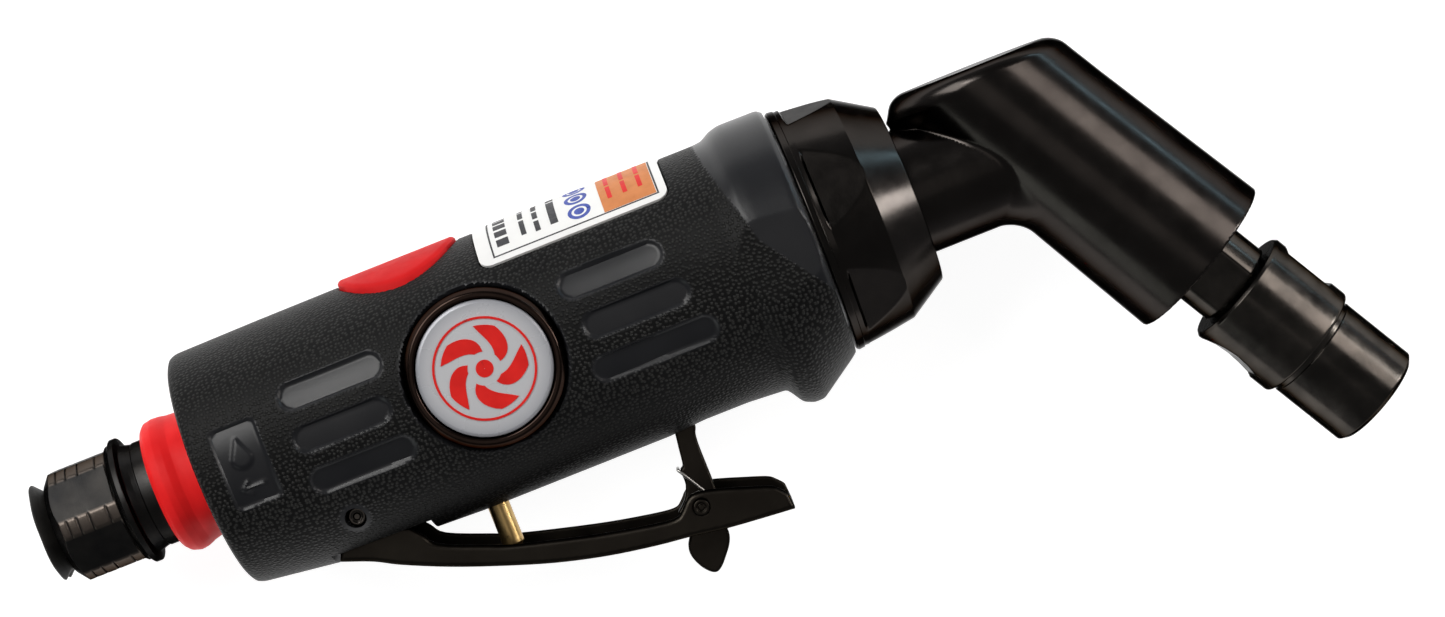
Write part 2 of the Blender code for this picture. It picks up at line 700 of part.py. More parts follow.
def make_head(tool, head):
    """Neck and barrel in one casting, bored for the pinion and for the spindle."""
    spigot, flange, neck, bore = 12.3, 15.2, 9.8, 7.6
    profile = (
        (84.6, 0), (84.6, spigot), (CORE_FRONT + GAP, spigot), (CORE_FRONT + GAP, flange),
        (106.0, flange), (106.0, neck), (CROSSING_X + 2, neck), (CROSSING_X + 2, 0),
    )
    casting = turned("angle_head", profile, tool, black_head(), 32)
    profile = (
        (-30, 0), (-30, 12.4), (0, 12.6), (BARREL_FRONT - 0.6, 13.2), (BARREL_FRONT, 12.7),
        (BARREL_FRONT, 0),
    )
    barrel = turned("barrel", profile, head, black_head(), 32)
    cut(barrel, box("barrel_trim", (90, BARREL_TOP, -20), (160, 50, 20), tool))
    fuse(casting, barrel)
    cut(
        casting,
        turned("neck_bore", rod_profile(80, CROSSING_X - 2, bore), tool, black_head(), 20),
        turned("rear_bearing_seat", rod_profile(80, 92.3, 9.5), tool, black_head(), 20),
        turned("barrel_bore", rod_profile(-9, 40, 9.5), head, black_head(), 24),
        turned("cap_seat", rod_profile(25.7, 40, 10.8), head, black_head(), 28),
    )


def make_clamp_nut(tool):
    rear, ring_end, cone_start, front = 97.2, 97.9, 107.1, 113.2
    profile = (
        (rear, GRIP_BORE), (rear, 17.1), (ring_end, 17.1), (98.3, 19.0), (99.5, 18.9), (cone_start, 17.6),
        (front, 13.8), (front, 10.2), (106.3, 10.2), (106.3, GRIP_BORE),
    )
    nut = turned("clamp_nut", profile, tool, black_steel(), 36)
    cut(nut, polygon_ring("nut_flats", 17.7, 99.5, front + 1, tool, 6, math.radians(69 - 30)))


def make_spindle(head):
    thread, socket = 5.7, 4.4
    profile = (
        (2.6, 0), (2.6, 4.0), (25.6, 4.0), (25.6, 6.67), (36.1, 6.67), (36.1, thread),
        (52.0, thread), (52.0, socket), (38.0, socket), (38.0, 0),
    )
    spindle = turned("spindle", profile, head, black_steel(), 24)
    for side in (-1, 1):
        flat = box(f"spindle_flat_{side}", (31.5, 5.5, -8), (36.0, 9, 8), head)
        flat.rotation_euler = (math.radians(90 * side + 13.5), 0, 0)
        cut(spindle, flat)

    shank = 3.05
    profile = (
        (39.5, shank), (39.5, 4.0), (52.4, 4.1), (53.6, 5.6), (56.6, 5.6), (60.2, 4.4),
        (63.4, 4.4), (63.4, shank),
    )
    collet = turned("collet", profile, head, plain_steel(), 16)
    for index in range(2):
        slit = box(f"collet_slit_{index}", (46, -8, -0.3), (66, 8, 0.3), head)
        slit.rotation_euler = (math.radians(90 * index), 0, 0)
        cut(collet, slit)

    profile = (
        (36.1 + GAP, 6.0), (36.1 + GAP, 9.1), (36.9, 9.4), (50.2, 9.4),
        (50.3, 8.3), (51.1, 8.3), (51.2, 8.4), (63.2, 8.4), (NOSE_FRONT, 7.7), (NOSE_FRONT, 4.75),
        (60.4, 4.75), (57.2, 6.0),
    )
    nut = turned("collet_nut", profile, head, black_steel(), 28)
    for side in (-1, 1):
        low, high = sorted((8.5 * side, 12 * side))
        cut(nut, box(f"nut_flat_{side}", (38.8, low, -12), (46.9, high, 12), head))


def main():
    clear_scene()
    tool = empty("tool", place=(-MIDDLE_X, -MIDDLE_Y, SIDE_FLAT))
    head = empty("head_axis", tool, (CROSSING_X, 0, 0), HEAD_TURN)
    grip = make_grip(tool)
    make_top_trim(tool, grip)
    make_badges(tool, grip)
    make_inlet(tool)
    make_core(tool)
    make_valve(tool)
    make_lever(tool)
    make_catch(tool)
    make_motor(tool)
    make_drive(tool, head)
    make_head(tool, head)
    make_clamp_nut(tool)
    make_spindle(head)


main()
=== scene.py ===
"""Looks of the angle die grinder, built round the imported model.

Lengths are millimetres in the tool's own frame: x = 0 is the rear face of the grip, the motor axis
is y = z = 0, +y is the tool's back and +z the side that faces the camera. Pieces of the angle head
use the head's frame, where x runs along the spindle from the point where it meets the motor axis.
Angles round an axis start at +y and turn towards +z.
"""
import itertools
import json
import math

import bmesh
import bpy
import numpy as np
from mathutils import Matrix, Vector


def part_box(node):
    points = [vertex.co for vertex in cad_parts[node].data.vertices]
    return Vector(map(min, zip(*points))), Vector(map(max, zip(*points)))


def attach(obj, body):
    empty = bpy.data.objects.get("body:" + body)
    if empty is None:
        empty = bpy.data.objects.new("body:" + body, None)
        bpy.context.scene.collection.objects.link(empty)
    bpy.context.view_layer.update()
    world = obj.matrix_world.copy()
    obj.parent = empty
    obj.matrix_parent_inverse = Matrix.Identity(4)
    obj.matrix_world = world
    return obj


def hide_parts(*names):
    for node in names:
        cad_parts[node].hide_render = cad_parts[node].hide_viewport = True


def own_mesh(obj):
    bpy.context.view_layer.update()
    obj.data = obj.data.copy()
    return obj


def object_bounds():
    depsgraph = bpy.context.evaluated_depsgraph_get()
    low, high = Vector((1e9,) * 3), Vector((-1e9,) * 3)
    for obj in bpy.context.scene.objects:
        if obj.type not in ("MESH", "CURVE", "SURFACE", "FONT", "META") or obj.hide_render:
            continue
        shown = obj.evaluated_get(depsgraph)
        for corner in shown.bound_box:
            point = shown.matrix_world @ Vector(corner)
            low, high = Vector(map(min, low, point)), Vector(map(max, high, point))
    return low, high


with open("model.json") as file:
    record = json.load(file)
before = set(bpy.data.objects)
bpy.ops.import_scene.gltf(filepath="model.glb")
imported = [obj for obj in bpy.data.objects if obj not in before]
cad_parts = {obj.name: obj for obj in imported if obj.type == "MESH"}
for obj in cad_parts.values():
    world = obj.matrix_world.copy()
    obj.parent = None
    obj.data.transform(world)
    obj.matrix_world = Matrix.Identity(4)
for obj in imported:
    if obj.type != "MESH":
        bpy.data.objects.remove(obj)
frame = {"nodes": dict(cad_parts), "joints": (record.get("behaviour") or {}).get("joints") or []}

CAD_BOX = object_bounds()
MM = 0.001
ARC_STEPS = 5
SHARP_ANGLE = math.radians(38)  # faces that meet at more than this keep a crisp edge

# Camera, as the tool is seen: turned up to the right and looked at from a little behind its back.
VIEW_TURN = math.radians(21.65)
VIEW_TILT = math.radians(3.5)
VIEW_DISTANCE, VIEW_LENS, SENSOR = 485.0, 79.7, 36.0
VIEW_AIM = (80.6, -5.83, 0.0)

# Grip: distance along, radius upward, radius downward, half width.
GRIP_SECTIONS = (
    (0.0, 17.2, 17.7, 17.3),
    (0.4, 18.0, 18.4, 18.1),
    (1.3, 18.3, 18.7, 18.4),
    (13.9, 18.5, 20.35, 18.6),
    (27.6, 18.6, 20.6, 18.9),
    (36.0, 18.7, 20.9, 19.0),
    (66.0, 18.8, 20.9, 19.3),
    (72.0, 18.8, 20.5, 19.3),
    (79.0, 18.75, 20.5, 19.3),
    (85.2, 18.75, 20.9, 19.5),
    (86.8, 18.9, 23.5, 20.0),
    (88.4, 19.8, 24.2, 20.4),
    (90.0, 20.2, 24.2, 20.4),
    (96.2, 20.15, 20.0, 20.2),
    (96.9, 19.6, 19.4, 19.5),
)
SIDE_FLAT, GRIP_FRONT, GRIP_BORE, GRIP_REAR_HOLE, GRIP_REAR_WALL = 19.6, 96.9, 15.8, 11.0, 2.3
GRIP_STEP, GRIP_SIDES = 0.3, 400
GRIP_INSIDE = 16.9  # nothing nearer to the axis than this is pebbled
GRIP_MEAN_RADIUS = 19.3  # spaces the pebbles round the grip
OVAL_HALF, OVAL_ROW, OVAL_DEPTH = 1.9, 6.6, 0.62
OVALS = (
    (15.4, 31.4, OVAL_ROW), (15.4, 30.3, 0.0), (15.4, 31.5, -OVAL_ROW),
    (59.4, 75.4, OVAL_ROW), (60.8, 77.1, 0.0), (59.8, 79.0, -OVAL_ROW),
)
PANEL, PANEL_CORNER, PANEL_DEPTH = (4.0, 10.9, -6.3, 5.9), 0.8, 0.4  # sides, corner radius, depth
FLANGE_EDGE = ((-9.0, -4.7, 2.5, 15.5, 20.0), (97.5, 94.4, 89.3, 85.7, 85.0))

BADGE_X, BEZEL_RADIUS, DISC_RADIUS, BEZEL_FACE = 45.2, 11.9, 10.1, 19.2
BADGE_SADDLE = 16.3
BADGE_PRINT = (19.16, 18.9)  # face and back of the printing
INSERT_X, INSERT_HALF_LENGTH, INSERT_HALF_WIDTH, INSERT_TOP, INSERT_FLOOR = 37.4, 9.5, 10.2, 19.5, 17.8
LABEL_X = (49.8, 79.5)
LABEL_TURN = (math.radians(-18), math.radians(45))
LABEL_FACE, LABEL_BACK = 19.05, 18.6

PIVOT_X, PIVOT_Y, PIVOT_HOLE = 18.9, -13.8, 1.6
CATCH_X, CATCH_Y = 66.7, -31.9
VALVE_X, STEM_HOLE = 38.0, 2.2
LEVER_POCKET = ((12.6, -26, -8), (28.5, -9.1, 8))  # low and high corner, cut out of the grip
CATCH_POCKET = ((56.5, -26, -2.2), (72.5, -17.7, 2.2))
NUT_TURN = math.radians(69)  # the clamp nut's first flat
SPINDLE_TURN = math.radians(103.5)  # the spindle's first flat


def joint(name):
    return next(entry for entry in frame["joints"] if entry["name"] == name)


def tool_frame():
    """Rear face of the grip and the motor's axis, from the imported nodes."""
    grip_low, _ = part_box("grip_housing")
    low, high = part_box("rotor_cylinder")
    middle = (low + high) / 2
    return Matrix.Translation((grip_low.x, middle.y, middle.z)) @ Matrix.Scale(MM, 4)


def head_frame(tool):
    """The spindle's axis, with its zero where it crosses the motor's axis."""
    spin = joint("spindle_spin")
    along, place = Vector(spin["axis"]), Vector(spin["pos_m"])
    crossing = place + along * ((tool.translation.y - place.y) / along.y)
    turn = math.atan2(along.y, along.x)
    return Matrix.Translation(crossing) @ Matrix.Rotation(turn, 4, "Z") @ Matrix.Scale(MM, 4)


TOOL = tool_frame()
HEAD = head_frame(TOOL)
ACROSS = Matrix.Rotation(math.radians(90), 4, "Z")  # turns a lathe's x to the tool's y
NEAR = Matrix.Rotation(math.radians(-90), 4, "Y")  # turns it to the tool's z, towards the camera


# ---------------------------------------------------------------- materials


def node(tree, kind, inputs=None, **settings):
    """A shader node with its settings, its values and its links from other sockets."""
    made = tree.nodes.new(kind)
    for key, value in settings.items():
        setattr(made, key, value)
    for key, value in (inputs or {}).items():
        socket = made.inputs[key]
        if isinstance(value, bpy.types.NodeSocket):
            tree.links.new(value, socket)
        else:
            socket.default_value = value
    return made


def colour(value):
    return (*value, 1.0)


def in_millimetres(tree):
    place = node(tree, "ShaderNodeTexCoord").outputs["Object"]
    return node(tree, "ShaderNodeVectorMath", {0: place, "Scale": 1 / MM}, operation="SCALE").outputs[0]


def noise(tree, place, size, detail=3.0, roughness=0.5):
    inputs = {"Vector": place, "Scale": 1 / size, "Detail": detail, "Roughness": roughness}
    return node(tree, "ShaderNodeTexNoise", inputs).outputs["Fac"]


def spread(tree, value, low, high, to_low=0.0, to_high=1.0, smooth=False):
    inputs = {"Value": value, "From Min": low, "From Max": high, "To Min": to_low, "To Max": to_high}
    kind = "SMOOTHSTEP" if smooth else "LINEAR"
    return node(tree, "ShaderNodeMapRange", inputs, interpolation_type=kind).outputs["Result"]


def arithmetic(tree, operation, first, second):
    return node(tree, "ShaderNodeMath", {0: first, 1: second}, operation=operation).outputs[0]


def blended(tree, share, first, second):
    """A colour between two colours or sockets."""
    made = node(tree, "ShaderNodeMix", data_type="RGBA")
    for socket, value in zip((made.inputs[0], made.inputs[6], made.inputs[7]), (share, first, second)):
        if isinstance(value, bpy.types.NodeSocket):
            tree.links.new(value, socket)
        else:
            socket.default_value = value if isinstance(value, float) else colour(value)
    return made.outputs[2]


def bumped(tree, height, depth, normal=None):
    """A bump of the given depth in millimetres."""
    inputs = {"Height": height, "Strength": 1.0, "Distance": depth * MM}
    if normal is not None:
        inputs["Normal"] = normal
    return node(tree, "ShaderNodeBump", inputs).outputs["Normal"]


def new_material(name):
    material = bpy.data.materials.new(name)
    material.use_nodes = True
    tree = material.node_tree
    return material, tree, tree.nodes["Principled BSDF"]


def finish(
    name, dark, light, roughness, metallic=0.0, patch=6.0, grain=0.4, grain_depth=0.01,
    lines=None, line_depth=0.004, specular=0.5, rim=None, bare_and_shade=None,
):
    """A finish with cloudy colour, uneven gloss and fine grain.

    roughness is the least and the most. lines is an axis, for a turned piece: fine tool marks run
    round it. rim is how much a metal shines when it is seen along its surface. The last argument is
    the second colour, shown where the mesh's attribute of the same name is 1: bare metal on the
    inlet's turned corners, and painted shade towards the rim of the badge's disc.
    """
    material, tree, shader = new_material(name)
    place = in_millimetres(tree)
    cloud = noise(tree, place, patch, 4.0)
    tone = blended(tree, spread(tree, cloud, 0.3, 0.7), dark, light)
    if bare_and_shade is not None:
        share = node(tree, "ShaderNodeAttribute", attribute_name="bare_and_shade").outputs["Fac"]
        tone = blended(tree, share, tone, bare_and_shade)
    tree.links.new(tone, shader.inputs["Base Color"])
    smear = noise(tree, place, patch * 0.4, 5.0, 0.6)
    gloss = spread(tree, smear, 0.3, 0.7, roughness[0], roughness[1])
    tree.links.new(gloss, shader.inputs["Roughness"])
    normal = bumped(tree, noise(tree, place, grain, 2.0), grain_depth)
    if lines is not None:
        along = node(
            tree, "ShaderNodeVectorMath", {0: place, 1: lines}, operation="DOT_PRODUCT"
        ).outputs["Value"]
        marks = node(
            tree, "ShaderNodeTexNoise", {"W": along, "Scale": 5.0, "Detail": 4.0, "Roughness": 0.7},
            noise_dimensions="1D",
        ).outputs["Fac"]
        normal = bumped(tree, marks, line_depth, normal)
    tree.links.new(normal, shader.inputs["Normal"])
    shader.inputs["Metallic"].default_value = metallic
    shader.inputs["Specular IOR Level"].default_value = specular
    if rim is not None:
        shader.inputs["Specular Tint"].default_value = (rim, rim, rim, 1)
    return material


def grip_finish():
    """Pebbled rubber-like composite. The mesh says where it is pebbled and where it is smooth.
    The pebbles' tops carry a painted highlight and the hollows between them painted shade.
    """
    material, tree, shader = new_material("grip_composite_look")
    place = in_millimetres(tree)
    pebbled = node(tree, "ShaderNodeAttribute", attribute_name="pebbled").outputs["Fac"]
    unrolled = node(tree, "ShaderNodeAttribute", attribute_name="unrolled").outputs["Vector"]
    cells = node(
        tree, "ShaderNodeTexVoronoi", {"Vector": unrolled, "Scale": 1 / 0.66, "Randomness": 0.7},
        voronoi_dimensions="2D",
    ).outputs["Distance"]
    button = spread(tree, cells, 0.46, 0.08, smooth=True)
    button = arithmetic(tree, "MULTIPLY", button, pebbled)
    fine = noise(tree, place, 0.16, 3.0)
    cloud = spread(tree, noise(tree, place, 9.0, 4.0), 0.3, 0.7)
    # Painted shade in the hollows between the pebbles, and a painted highlight on their tops.
    painted_valley_shade = blended(tree, cloud, (0.0035, 0.0035, 0.0037), (0.0055, 0.0055, 0.0056))
    painted_crown_highlight = blended(tree, cloud, (0.019, 0.0192, 0.0185), (0.028, 0.028, 0.0265))
    plain = blended(tree, cloud, (0.009, 0.0095, 0.0115), (0.014, 0.0145, 0.0165))
    tone = blended(tree, pebbled, plain, blended(tree, button, painted_valley_shade, painted_crown_highlight))
    tree.links.new(tone, shader.inputs["Base Color"])
    pebble_dullness = spread(tree, pebbled, 0, 1, 0, 0.16)
    gloss = arithmetic(tree, "ADD", spread(tree, fine, 0.3, 0.7, 0.28, 0.34), pebble_dullness)
    tree.links.new(gloss, shader.inputs["Roughness"])
    normal = bumped(tree, fine, 0.012)
    normal = bumped(tree, button, 0.13, normal)
    tree.links.new(normal, shader.inputs["Normal"])
    shine = spread(tree, pebbled, 0, 1, 0.34, 0.14)
    tree.links.new(shine, shader.inputs["Specular IOR Level"])
    return material


MOTOR_AXIS = tuple(TOOL.to_3x3().col[0].normalized())
SPINDLE_AXIS = tuple(HEAD.to_3x3().col[0].normalized())


def make_materials():
    """The looks by key: material name, dark and light colour, roughness, and what else it needs."""
    blackened = dict(metallic=1.0, patch=5.0, grain=0.35, grain_depth=0.003, rim=0.12)
    glossy = dict(metallic=1.0, patch=8.0, grain=0.9, grain_depth=0.003)
    plastic = dict(patch=4.0, grain=0.9, grain_depth=0.01)
    printing = dict(grain_depth=0.002, specular=0.2)
    table = {
        "red": (
            "red_plastic", (0.86, 0.012, 0.014), (0.96, 0.018, 0.019), (0.42, 0.55),
            dict(specular=0.14, **plastic),
        ),
        "insert": (
            "insert_plastic", (0.58, 0.010, 0.012), (0.68, 0.015, 0.016), (0.50, 0.62),
            dict(specular=0.08, **plastic),
        ),
        # The inlet's second colour is the bare metal of the hex's turned corners.
        "inlet": (
            "inlet_steel", (0.020, 0.020, 0.0205), (0.038, 0.036, 0.034), (0.28, 0.42),
            dict(lines=MOTOR_AXIS, line_depth=0.012, bare_and_shade=(0.105, 0.088, 0.076), **blackened),
        ),
        "nut": (
            "nut_black", (0.032, 0.029, 0.027), (0.044, 0.039, 0.036), (0.16, 0.24),
            dict(rim=0.3, **glossy),
        ),
        "head": (
            "head_gloss", (0.034, 0.030, 0.028), (0.046, 0.041, 0.038), (0.17, 0.26),
            dict(rim=0.1, **glossy),
        ),
        "spindle": (
            "spindle_oxide", (0.048, 0.044, 0.040), (0.085, 0.076, 0.068), (0.14, 0.26),
            dict(lines=SPINDLE_AXIS, line_depth=0.003, **blackened),
        ),
        "lever": (
            "lever_black", (0.021, 0.018, 0.015), (0.031, 0.027, 0.022), (0.28, 0.40),
            dict(metallic=1.0, patch=7.0, grain=0.5, grain_depth=0.004, rim=0.15),
        ),
        "brass": (
            "brass", (0.50, 0.33, 0.13), (0.66, 0.46, 0.20), (0.26, 0.36),
            dict(metallic=1.0, patch=2.5, grain=0.6, grain_depth=0.001),
        ),
        "steel": (
            "plain_steel", (0.30, 0.30, 0.30), (0.46, 0.45, 0.43), (0.24, 0.38),
            dict(metallic=1.0, patch=3.0, grain=0.3, grain_depth=0.003),
        ),
        "ground_steel": (
            "ground_steel", (0.45, 0.45, 0.46), (0.64, 0.64, 0.63), (0.22, 0.34),
            dict(metallic=1.0, lines=MOTOR_AXIS, line_depth=0.004),
        ),
        "core": (
            "core_alloy", (0.50, 0.50, 0.52), (0.68, 0.68, 0.69), (0.32, 0.46),
            dict(metallic=1.0, lines=MOTOR_AXIS, line_depth=0.008),
        ),
        "rubber": (
            "seal_rubber", (0.006, 0.0055, 0.005), (0.013, 0.012, 0.010), (0.45, 0.62),
            dict(patch=3.0, grain=0.3, grain_depth=0.01, specular=0.3),
        ),
        "felt": (
            "felt", (0.42, 0.40, 0.35), (0.62, 0.60, 0.53), (0.85, 0.98),
            dict(patch=1.5, grain=0.12, grain_depth=0.08, specular=0.2),
        ),
        "vane": (
            "vane", (0.20, 0.11, 0.05), (0.36, 0.22, 0.11), (0.5, 0.65),
            dict(patch=2.0, grain=0.2, grain_depth=0.02),
        ),
        "bezel": (
            "bezel", (0.024, 0.016, 0.013), (0.036, 0.024, 0.020), (0.14, 0.22),
            dict(metallic=1.0, patch=5.0, grain=0.8, grain_depth=0.002, rim=0.1),
        ),
        # The disc's second colour is painted shade, laid on towards its rim.
        "disc": (
            "badge_silver", (0.54, 0.55, 0.58), (0.60, 0.61, 0.635), (0.26, 0.30),
            dict(metallic=0.15, patch=24.0, grain=2.5, grain_depth=0.0002, bare_and_shade=(0.34, 0.35, 0.385)),
        ),
        "red_print": (
            "red_print", (0.66, 0.012, 0.010), (0.78, 0.018, 0.014), (0.38, 0.48),
            dict(patch=3.0, grain=0.3, **printing),
        ),
        "label": (
            "label_white", (0.84, 0.84, 0.83), (0.90, 0.90, 0.89), (0.35, 0.50),
            dict(patch=8.0, grain=1.5, grain_depth=0.008, specular=0.3),
        ),
        "ink": (
            "label_ink", (0.035, 0.035, 0.04), (0.07, 0.07, 0.075), (0.45, 0.6),
            dict(patch=0.8, grain=0.2, **printing),
        ),
        "orange_ink": (
            "orange_ink", (0.60, 0.21, 0.07), (0.70, 0.26, 0.09), (0.45, 0.6),
            dict(patch=2.0, grain=0.2, **printing),
        ),
        "blue_ink": (
            "blue_ink", (0.05, 0.08, 0.36), (0.09, 0.13, 0.46), (0.45, 0.6),
            dict(patch=1.0, grain=0.2, **printing),
        ),
    }
    looks = {"grip": grip_finish()}
    for key, (name, dark, light, roughness, extra) in table.items():
        looks[key] = finish(f"{name}_look", dark, light, roughness, **extra)
    return looks


LOOKS = make_materials()


# ---------------------------------------------------------------- mesh tools


def placed(matrix, points):
    table = np.array(matrix)
    return np.asarray(points, float) @ table[:3, :3].T + table[:3, 3]


def add_piece(name, points, faces, matrix, body, look, replaces=(), slot=None, normals=None):
    """A smooth closed mesh that rides on a body and stands for the named CAD nodes."""
    mesh = bpy.data.meshes.new(name)
    mesh.from_pydata(placed(matrix, points).tolist(), [], faces)
    if normals is None:
        work = bmesh.new()
        work.from_mesh(mesh)
        bmesh.ops.remove_doubles(work, verts=work.verts, dist=0.0005 * MM)
        bmesh.ops.recalc_face_normals(work, faces=work.faces)
        work.to_mesh(mesh)
        work.free()
    mesh.shade_smooth()
    if normals is None:
        mesh.set_sharp_from_angle(angle=SHARP_ANGLE)
    else:
        turned = normals @ np.array(matrix.to_3x3().normalized()).T
        mesh.normals_split_custom_set_from_vertices(turned.tolist())
    mesh.materials.append(LOOKS[look])
    piece = bpy.data.objects.new(name, mesh)
    bpy.context.scene.collection.objects.link(piece)
    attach(piece, body)
    if replaces:
        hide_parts(*replaces)
    return piece


def mesh_points(mesh, matrix):
    """The mesh's points in the matrix's frame, as rows of x, y and z."""
    flat = np.zeros(len(mesh.vertices) * 3)
    mesh.vertices.foreach_get("co", flat)
    return placed(matrix.inverted(), flat.reshape(-1, 3)).T


def store_share(mesh, name, values):
    """Stores a number for each point, for a material to read."""
    store = mesh.attributes.new(name, "FLOAT", "POINT")
    store.data.foreach_set("value", values.astype(np.float32))


def mark_bare_and_shade(piece, matrix, share):
    """Stores, point by point, how much of the second colour the piece shows (bare metal on the inlet,
    painted shade on the badge's disc); share gets the points in the matrix's frame.
    """
    store_share(piece.data, "bare_and_shade", share(*mesh_points(piece.data, matrix)))


def traced(profile, step, loop):
    """The profile's points, with rounded corners as arcs and long runs divided.

    A point is (along, radius) or (along, radius, rounding).
    """
    corners = [(*point, 0.0)[:3] for point in profile]
    count, path = len(corners), []
    for index, (along, radius, rounding) in enumerate(corners):
        here = np.array((along, radius))
        if rounding == 0 or (not loop and index in (0, count - 1)):
            path.append(here)
            continue
        back = np.array(corners[index - 1][:2]) - here
        forth = np.array(corners[(index + 1) % count][:2]) - here
        lengths = np.hypot(*back), np.hypot(*forth)
        back, forth = back / lengths[0], forth / lengths[1]
        half = math.acos(max(-1.0, min(1.0, float(back @ forth)))) / 2
        reach = min(rounding / math.tan(half), 0.48 * lengths[0], 0.48 * lengths[1])
        bisector = (back + forth) / np.hypot(*(back + forth))
        centre = here + bisector * reach / math.cos(half)
        start, end, turn = here + back * reach - centre, here + forth * reach - centre, math.pi - 2 * half
        for k in range(ARC_STEPS + 1):
            share = k / ARC_STEPS
            arm = math.sin((1 - share) * turn) * start + math.sin(share * turn) * end
            path.append(centre + arm / math.sin(turn))
    pairs = list(zip(path, path[1:] + path[:1])) if loop else list(zip(path, path[1:]))
    points = []
    for first, second in pairs:
        parts = max(1, math.ceil(np.hypot(*(second - first)) / step))
        points.extend(first + (second - first) * k / parts for k in range(parts))
    if not loop:
        points.append(path[-1])
    return np.array(points)


def joined_rings(rings, loop):
    """Points and faces of a row of rings, each (sides, 3)."""
    count, sides = rings.shape[:2]
    index = np.arange(count * sides).reshape(count, sides)
    if loop:
        index = np.vstack((index, index[:1]))
    on = np.roll(index, -1, axis=1)
    quads = np.stack((index[:-1], index[1:], on[1:], on[:-1]), axis=-1).reshape(-1, 4)
    return rings.reshape(-1, 3), quads.tolist()


def lathe(name, profile, body, look, matrix=TOOL, sides=128, step=0.6, loop=False, shape=None, **facts):
    """A turned piece about the matrix's x axis. shape changes the radius: it gets along, radius, angle."""
    outline = traced(profile, step, loop)
    angles = np.linspace(0, 2 * math.pi, sides, endpoint=False)
    along, angle = np.meshgrid(outline[:, 0], angles, indexing="ij")
    radius = np.repeat(outline[:, 1:2], sides, axis=1)
    if shape is not None:
        radius = shape(along, radius, angle)
    rings = np.stack((along, radius * np.cos(angle), radius * np.sin(angle)), axis=-1)
    points, faces = joined_rings(rings, loop)
    return add_piece(name, points, faces, matrix, body, look, **facts)


def tube(name, points, radius, body, look, matrix=TOOL, sides=14, **facts):
    """Round wire along points, with domed ends."""
    line = np.asarray(points, float)
    ahead = np.gradient(line, axis=0)
    ahead /= np.linalg.norm(ahead, axis=1)[:, None]
    side = np.cross(ahead[0], (0.3, 0.5, 0.8))
    rings = []
    angles = np.linspace(0, 2 * math.pi, sides, endpoint=False)[:, None]
    dome = [(-1.0, 0.02), (-0.85, 0.5), (-0.5, 0.85)]
    for index, (place, forward) in enumerate(zip(line, ahead)):
        side = side - (side @ forward) * forward
        side /= np.linalg.norm(side)
        other = np.cross(forward, side)
        rows = [(0.0, 1.0)]
        if index == 0:
            rows = dome + rows
        if index == len(line) - 1:
            rows = rows + [(-back, size) for back, size in reversed(dome)]
        for shift, size in rows:
            centre = place + forward * shift * radius
            rings.append(centre + radius * size * (np.cos(angles) * side + np.sin(angles) * other))
    mesh_points, faces = joined_rings(np.array(rings), loop=False)
    last = len(mesh_points) - sides
    faces += [list(range(sides)), list(range(last + sides - 1, last - 1, -1))]
    return add_piece(name, mesh_points, faces, matrix, body, look, **facts)


def slab(top, bottom):
    """Points and faces of a closed plate between two grids of points, each (rows, columns, 3)."""
    rows, columns = top.shape[:2]
    count = rows * columns
    index = np.arange(count).reshape(rows, columns)
    quads = np.stack((index[:-1, :-1], index[:-1, 1:], index[1:, 1:], index[1:, :-1]), -1).reshape(-1, 4)
    rim = np.concatenate((index[0], index[1:, -1], index[-1, -2::-1], index[-2:0:-1, 0]))
    on = np.roll(rim, -1)
    sides = np.stack((on, rim, rim + count, on + count), -1)
    faces = np.vstack((quads, quads[:, ::-1] + count, sides))
    return np.vstack((top.reshape(-1, 3), bottom.reshape(-1, 3))), faces.tolist()


def merged(parts):
    """Several (points, faces) as one."""
    points, faces, start = [], [], 0
    for some_points, some_faces in parts:
        points.append(some_points)
        faces.extend([[corner + start for corner in face] for face in some_faces])
        start += len(some_points)
    return np.vstack(points), faces


def carved(piece, cutters):
    """Cuts the shapes, given as (points, faces) in the tool's frame, out of the piece's mesh."""
    helpers = []
    for index, (points, faces) in enumerate(cutters):
        mesh = bpy.data.meshes.new("cutter")
        mesh.from_pydata(placed(TOOL, points).tolist(), [], faces)
        helper = bpy.data.objects.new("cutter", mesh)
        bpy.context.scene.collection.objects.link(helper)
        helpers.append(helper)
        modifier = piece.modifiers.new(f"cut_{index}", "BOOLEAN")
        modifier.solver = "MANIFOLD"
        modifier.operation = "DIFFERENCE"
        modifier.object = helper
    graph = bpy.context.evaluated_depsgraph_get()
    result = bpy.data.meshes.new_from_object(piece.evaluated_get(graph))
    piece.modifiers.clear()
    piece.data = result
    for helper in helpers:
        bpy.data.objects.remove(helper)


def box_shape(low, high):
    corners = list(itertools.product(*zip(low, high)))
    faces = [[0, 1, 3, 2], [4, 6, 7, 5], [0, 4, 5, 1], [2, 3, 7, 6], [0, 2, 6, 4], [1, 5, 7, 3]]
    return np.array(corners, float), faces


def rod_shape(place, direction, low, high, radius, sides=48):
    """A round bar along z or y, for cutting."""
    angles = np.linspace(0, 2 * math.pi, sides, endpoint=False)
    ends = []
    for level in (low, high):
        level_row = np.full(sides, level)
        first, second = radius * np.cos(angles), radius * np.sin(angles)
        if direction == "z":
            ends.append(np.stack((place[0] + first, place[1] + second, level_row), -1))
        else:
            ends.append(np.stack((place[0] + second, level_row, place[1] + first), -1))
    faces = [[k, (k + 1) % sides, sides + (k + 1) % sides, sides + k] for k in range(sides)]
    faces += [list(range(sides))[::-1], list(range(sides, 2 * sides))]
    return np.vstack(ends), faces


